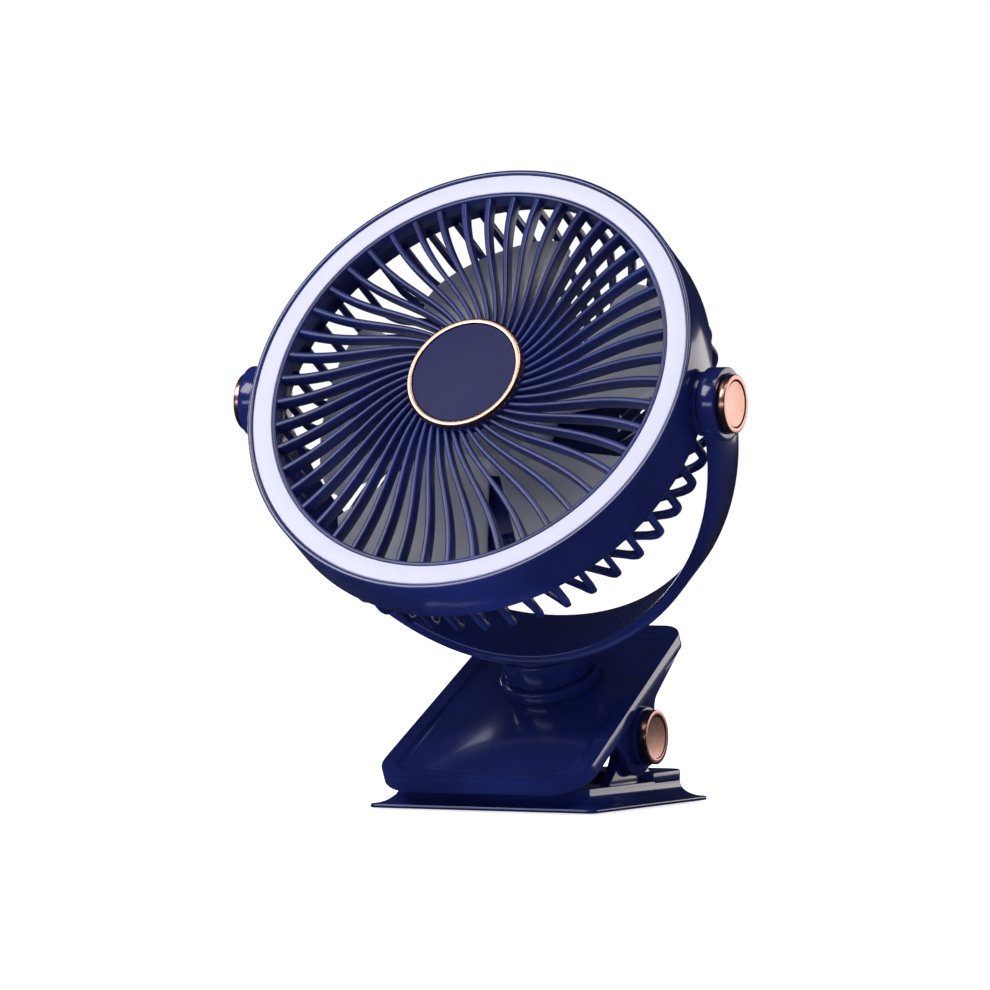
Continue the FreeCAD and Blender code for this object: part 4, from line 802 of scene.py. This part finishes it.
class BuildFanWheel(bpy.types.Operator):
    """Build the fan wheel: a cup over the motor and wide cambered blades"""

    bl_idname = "fan.fan_wheel"
    bl_label = "Fan wheel"

    def execute(self, context):
        s = in_mm(context)
        hub_outer = 18.5
        front = -6.0
        lead = math.radians(14.0)

        def section(across, reach, spread, height, level, turn):
            half = reach * math.tan(math.radians(spread / 2))
            z = level - height * (across + 1) / 2 - 3.0 * (1 - across * across)
            return Matrix.Rotation(turn, 3, "Z") @ Vector((reach, half * across, z))

        start = math.radians(20.0)

        def on_blade(along, across):
            root = section(across, 16.0, 50.0, 11.0, front, 0.0)
            tip = section(across, s.blade_radius + 6.0, 56.0, 14.0, front + 3.0, lead)
            wanted = 17.0 + (s.blade_radius - 5.0 * abs(across) ** 5 - 17.0) * along
            low, high = 0.0, 1.0
            for halving in range(24):
                share = (low + high) / 2
                if root.lerp(tip, share).xy.length < wanted:
                    low = share
                else:
                    high = share
            return Matrix.Rotation(start, 3, "Z") @ root.lerp(tip, low)

        bm = bmesh.new()
        bmesh.ops.create_grid(bm, x_segments=18, y_segments=16, size=1.0)
        for vert in bm.verts:
            vert.co = on_blade((vert.co.x + 1) / 2, vert.co.y)
        bmesh.ops.recalc_face_normals(bm, faces=bm.faces)
        made = bmesh.ops.extrude_face_region(bm, geom=bm.faces[:], use_keep_orig=True)
        lower = [item for item in made["geom"] if isinstance(item, bmesh.types.BMVert)]
        bmesh.ops.translate(bm, vec=(0, 0, -1.8), verts=lower)
        ring_of(round_off(bm, 0.5, 2, 50.0), s.blades)
        hub = turned([(16.0, -19.1), (hub_outer, -19.1), (hub_outer, front), (1.5, front),
                      (1.5, front - 2.0), (16.0, front - 2.0)], 96, 0.7)
        absorb(bm, hub)
        piece(bm, "bladed_wheel", HEAD, "rotor", blade_grey(), ["fan_wheel"])
        return {"FINISHED"}


class BuildButtons(bpy.types.Operator):
    """Build the two push buttons with their plain raised signs"""

    bl_idname = "fan.buttons"
    bl_label = "Buttons"

    def execute(self, context):
        for side, name, body in ((-1, "fan_button", "fan_button_cap"),
                                 (1, "light_button", "light_button_cap")):
            place = Matrix.Translation((side * 11.0, 0, 0))
            bm = turned([(0, -54.1), (5.0, -54.1), (5.0, -50.2), (0, -50.2)], 64, 0.6)
            arc = math.tau * (0.8 if side < 0 else 1.0)
            sign = bmesh.new()
            bmesh.ops.create_circle(sign, cap_ends=False, radius=0.25, segments=8,
                                    matrix=Matrix.Translation((2.2, 0, -54.0))
                                    @ Matrix.Rotation(math.radians(90), 4, "X"))
            bmesh.ops.spin(sign, geom=sign.verts[:] + sign.edges[:], cent=(0, 0, 0), axis=(0, 0, 1),
                           dvec=(0, 0, 0), angle=arc, steps=32, use_merge=side > 0)
            bmesh.ops.holes_fill(sign, edges=[e for e in sign.edges if e.is_boundary], sides=8)
            absorb(bm, sign)
            bmesh.ops.transform(bm, matrix=place, verts=bm.verts)
            piece(bm, name + "_cap", HEAD, body, button_grey(), [name])
        return {"FINISHED"}


class FinishFrameNodes(bpy.types.Operator):
    """Give the CAD nodes that are shown their materials and soft edges"""

    bl_idname = "fan.frame_nodes"
    bl_label = "Frame nodes"

    def execute(self, context):
        makers = {
            rubber(): ("floor_pad", "lower_grip_pad", "upper_grip_pad"),
            steel(): ("hinge_pin", "clamp_spring", "swivel_washer", "swivel_screw", "rear_bearing",
                      "front_bearing", "motor_screws", "cover_screws", "pivot_screws",
                      "motor_shaft", "charging_port"),
            navy_satin(): ("base_cover", "pod_shell", "pod_cover"),
            board_white(): ("light_board",),
            chip_yellow(): ("light_chips",),
            alloy(): ("motor_base", "rotor_cup", "wheel_nut"),
            copper(): ("stator_winding",),
            magnet(): ("magnet_ring",),
            cell_wrap(): ("battery_cells",),
            board_green(): ("control_board",),
            black_plastic(): ("battery_tray", "button_switches", "pivot_washers"),
            smoked_window(): ("charge_light_window",),
        }
        nodes = frame["nodes"]
        for material, names in makers.items():
            for name in names:
                node = nodes[name]
                node.data.materials.clear()
                node.data.materials.append(material)
                weld = node.modifiers.new("weld", "WELD")
                weld.merge_threshold = 1e-6
                bevel = node.modifiers.new("bevel", "BEVEL")
                bevel.width = 0.25 * MM
                bevel.segments = 2
                bevel.limit_method = "ANGLE"
                bevel.angle_limit = math.radians(35)
                bevel.harden_normals = True
                for face in node.data.polygons:
                    face.use_smooth = True
        bare = [name for name, node in nodes.items() if not node.hide_render
                and not any(name in names for names in makers.values())]
        if bare:
            raise RuntimeError("CAD nodes without a material: " + ", ".join(bare))
        return {"FINISHED"}


# The stage


def softbox(name, place, aim, width, height, power, tint):
    """A soft area light that faces a point."""
    light = bpy.data.lights.new(name, "AREA")
    light.shape = "RECTANGLE"
    light.size = width
    light.size_y = height
    light.energy = power
    light.color = linear(tint)
    item = bpy.data.objects.new(name, light)
    item.location = place
    item.rotation_euler = (Vector(aim) - Vector(place)).to_track_quat("-Z", "Y").to_euler()
    bpy.context.scene.collection.objects.link(item)
    return item


class BuildStage(bpy.types.Operator):
    """Set the floor, the white backdrop, the soft lights and the camera"""

    bl_idname = "fan.stage"
    bl_label = "Stage"

    def execute(self, context):
        scene = context.scene
        bm = bmesh.new()
        bmesh.ops.create_grid(bm, x_segments=1, y_segments=1, size=3.0)
        mesh = bpy.data.meshes.new("floor")
        bm.to_mesh(mesh)
        bm.free()
        mesh.materials.append(paper_floor())
        floor = bpy.data.objects.new("floor", mesh)
        scene.collection.objects.link(floor)

        world = bpy.data.worlds.new("studio")
        world.use_nodes = True
        scene.world = world
        tree = world.node_tree
        tree.nodes.clear()
        path = add_node(tree, "ShaderNodeLightPath")
        seen = add_node(tree, "ShaderNodeMix", {"Factor": path.outputs["Is Camera Ray"],
                                                "A": (*linear("#8A8C98"), 1), "B": (1, 1, 1, 1)},
                        data_type="RGBA")
        glossy = add_node(tree, "ShaderNodeMix", {"Factor": path.outputs["Is Glossy Ray"],
                                                  "A": seen.outputs[2],
                                                  "B": (*linear("#20222E"), 1)}, data_type="RGBA")
        background = add_node(tree, "ShaderNodeBackground", {"Color": glossy.outputs[2],
                                                             "Strength": 1.0})
        add_node(tree, "ShaderNodeOutputWorld", {"Surface": background.outputs["Background"]})

        middle = (0, -0.03, 0.12)
        softbox("key", (-0.9, -1.2, 1.3), middle, 0.9, 0.9, 13.0, "#FFFFFF")
        softbox("right", (0.75, 1.5, 0.21), middle, 1.1, 0.42, 2.7, "#FFF8F6")
        softbox("low", (-0.5, -1.4, 0.12), middle, 1.0, 0.2, 2.0, "#E8ECFF")
        softbox("top", (0.25, -0.45, 1.4), middle, 0.8, 0.6, 6.0, "#FFFFFF")
        softbox("rear", (-1.3, 0.9, 0.25), middle, 0.7, 0.4, 6.0, "#E4E8FF")

        camera = bpy.data.cameras.new("camera")
        camera.lens = 290.91
        camera.sensor_width = 36.0
        camera.clip_end = 20.0
        item = bpy.data.objects.new("camera", camera)
        item.location = (1.20569, -2.50768, 0.16435)
        turn = math.radians(26.0)
        rise = math.radians(1.16)
        back = Vector((math.sin(turn) * math.cos(rise), -math.cos(turn) * math.cos(rise),
                       math.sin(rise)))
        item.rotation_euler = (-back).to_track_quat("-Z", "Y").to_euler()
        scene.collection.objects.link(item)
        scene.camera = item
        scene.view_settings.view_transform = "Standard"
        return {"FINISHED"}


class FanPanel(bpy.types.Panel):
    """The fan's settings and its build steps"""

    bl_idname = "VIEW3D_PT_camping_fan"
    bl_label = "Camping fan"
    bl_space_type = "VIEW_3D"
    bl_region_type = "UI"
    bl_category = "Camping fan"

    def draw(self, context):
        settings = context.scene.fan_settings
        for group in (settings.sizes, settings.colours):
            box = self.layout.box()
            for word in group.bl_rna.properties.keys():
                if word not in {"rna_type", "name"}:
                    box.prop(group, word)
        for step in STEPS:
            self.layout.operator(step.bl_idname)


STEPS = (BuildBase, BuildHingeCaps, BuildJaw, BuildSwivel, BuildYoke, BuildPivotCaps, BuildDrum,
         BuildLightRing, BuildFrontGrille, BuildHub, BuildRearCage, BuildFanWheel, BuildButtons,
         FinishFrameNodes, BuildStage)
CLASSES = (FanSizes, FanColours, FanSettings, *STEPS, FanPanel)


def register():
    for item in CLASSES:
        bpy.utils.register_class(item)
    bpy.types.Scene.fan_settings = bpy.props.PointerProperty(type=FanSettings)


def unregister():
    del bpy.types.Scene.fan_settings
    for item in reversed(CLASSES):
        bpy.utils.unregister_class(item)


def main():
    register()
    for step in STEPS:
        family, name = step.bl_idname.split(".")
        getattr(getattr(bpy.ops, family), name)()


if __name__ == "__main__":
    main()
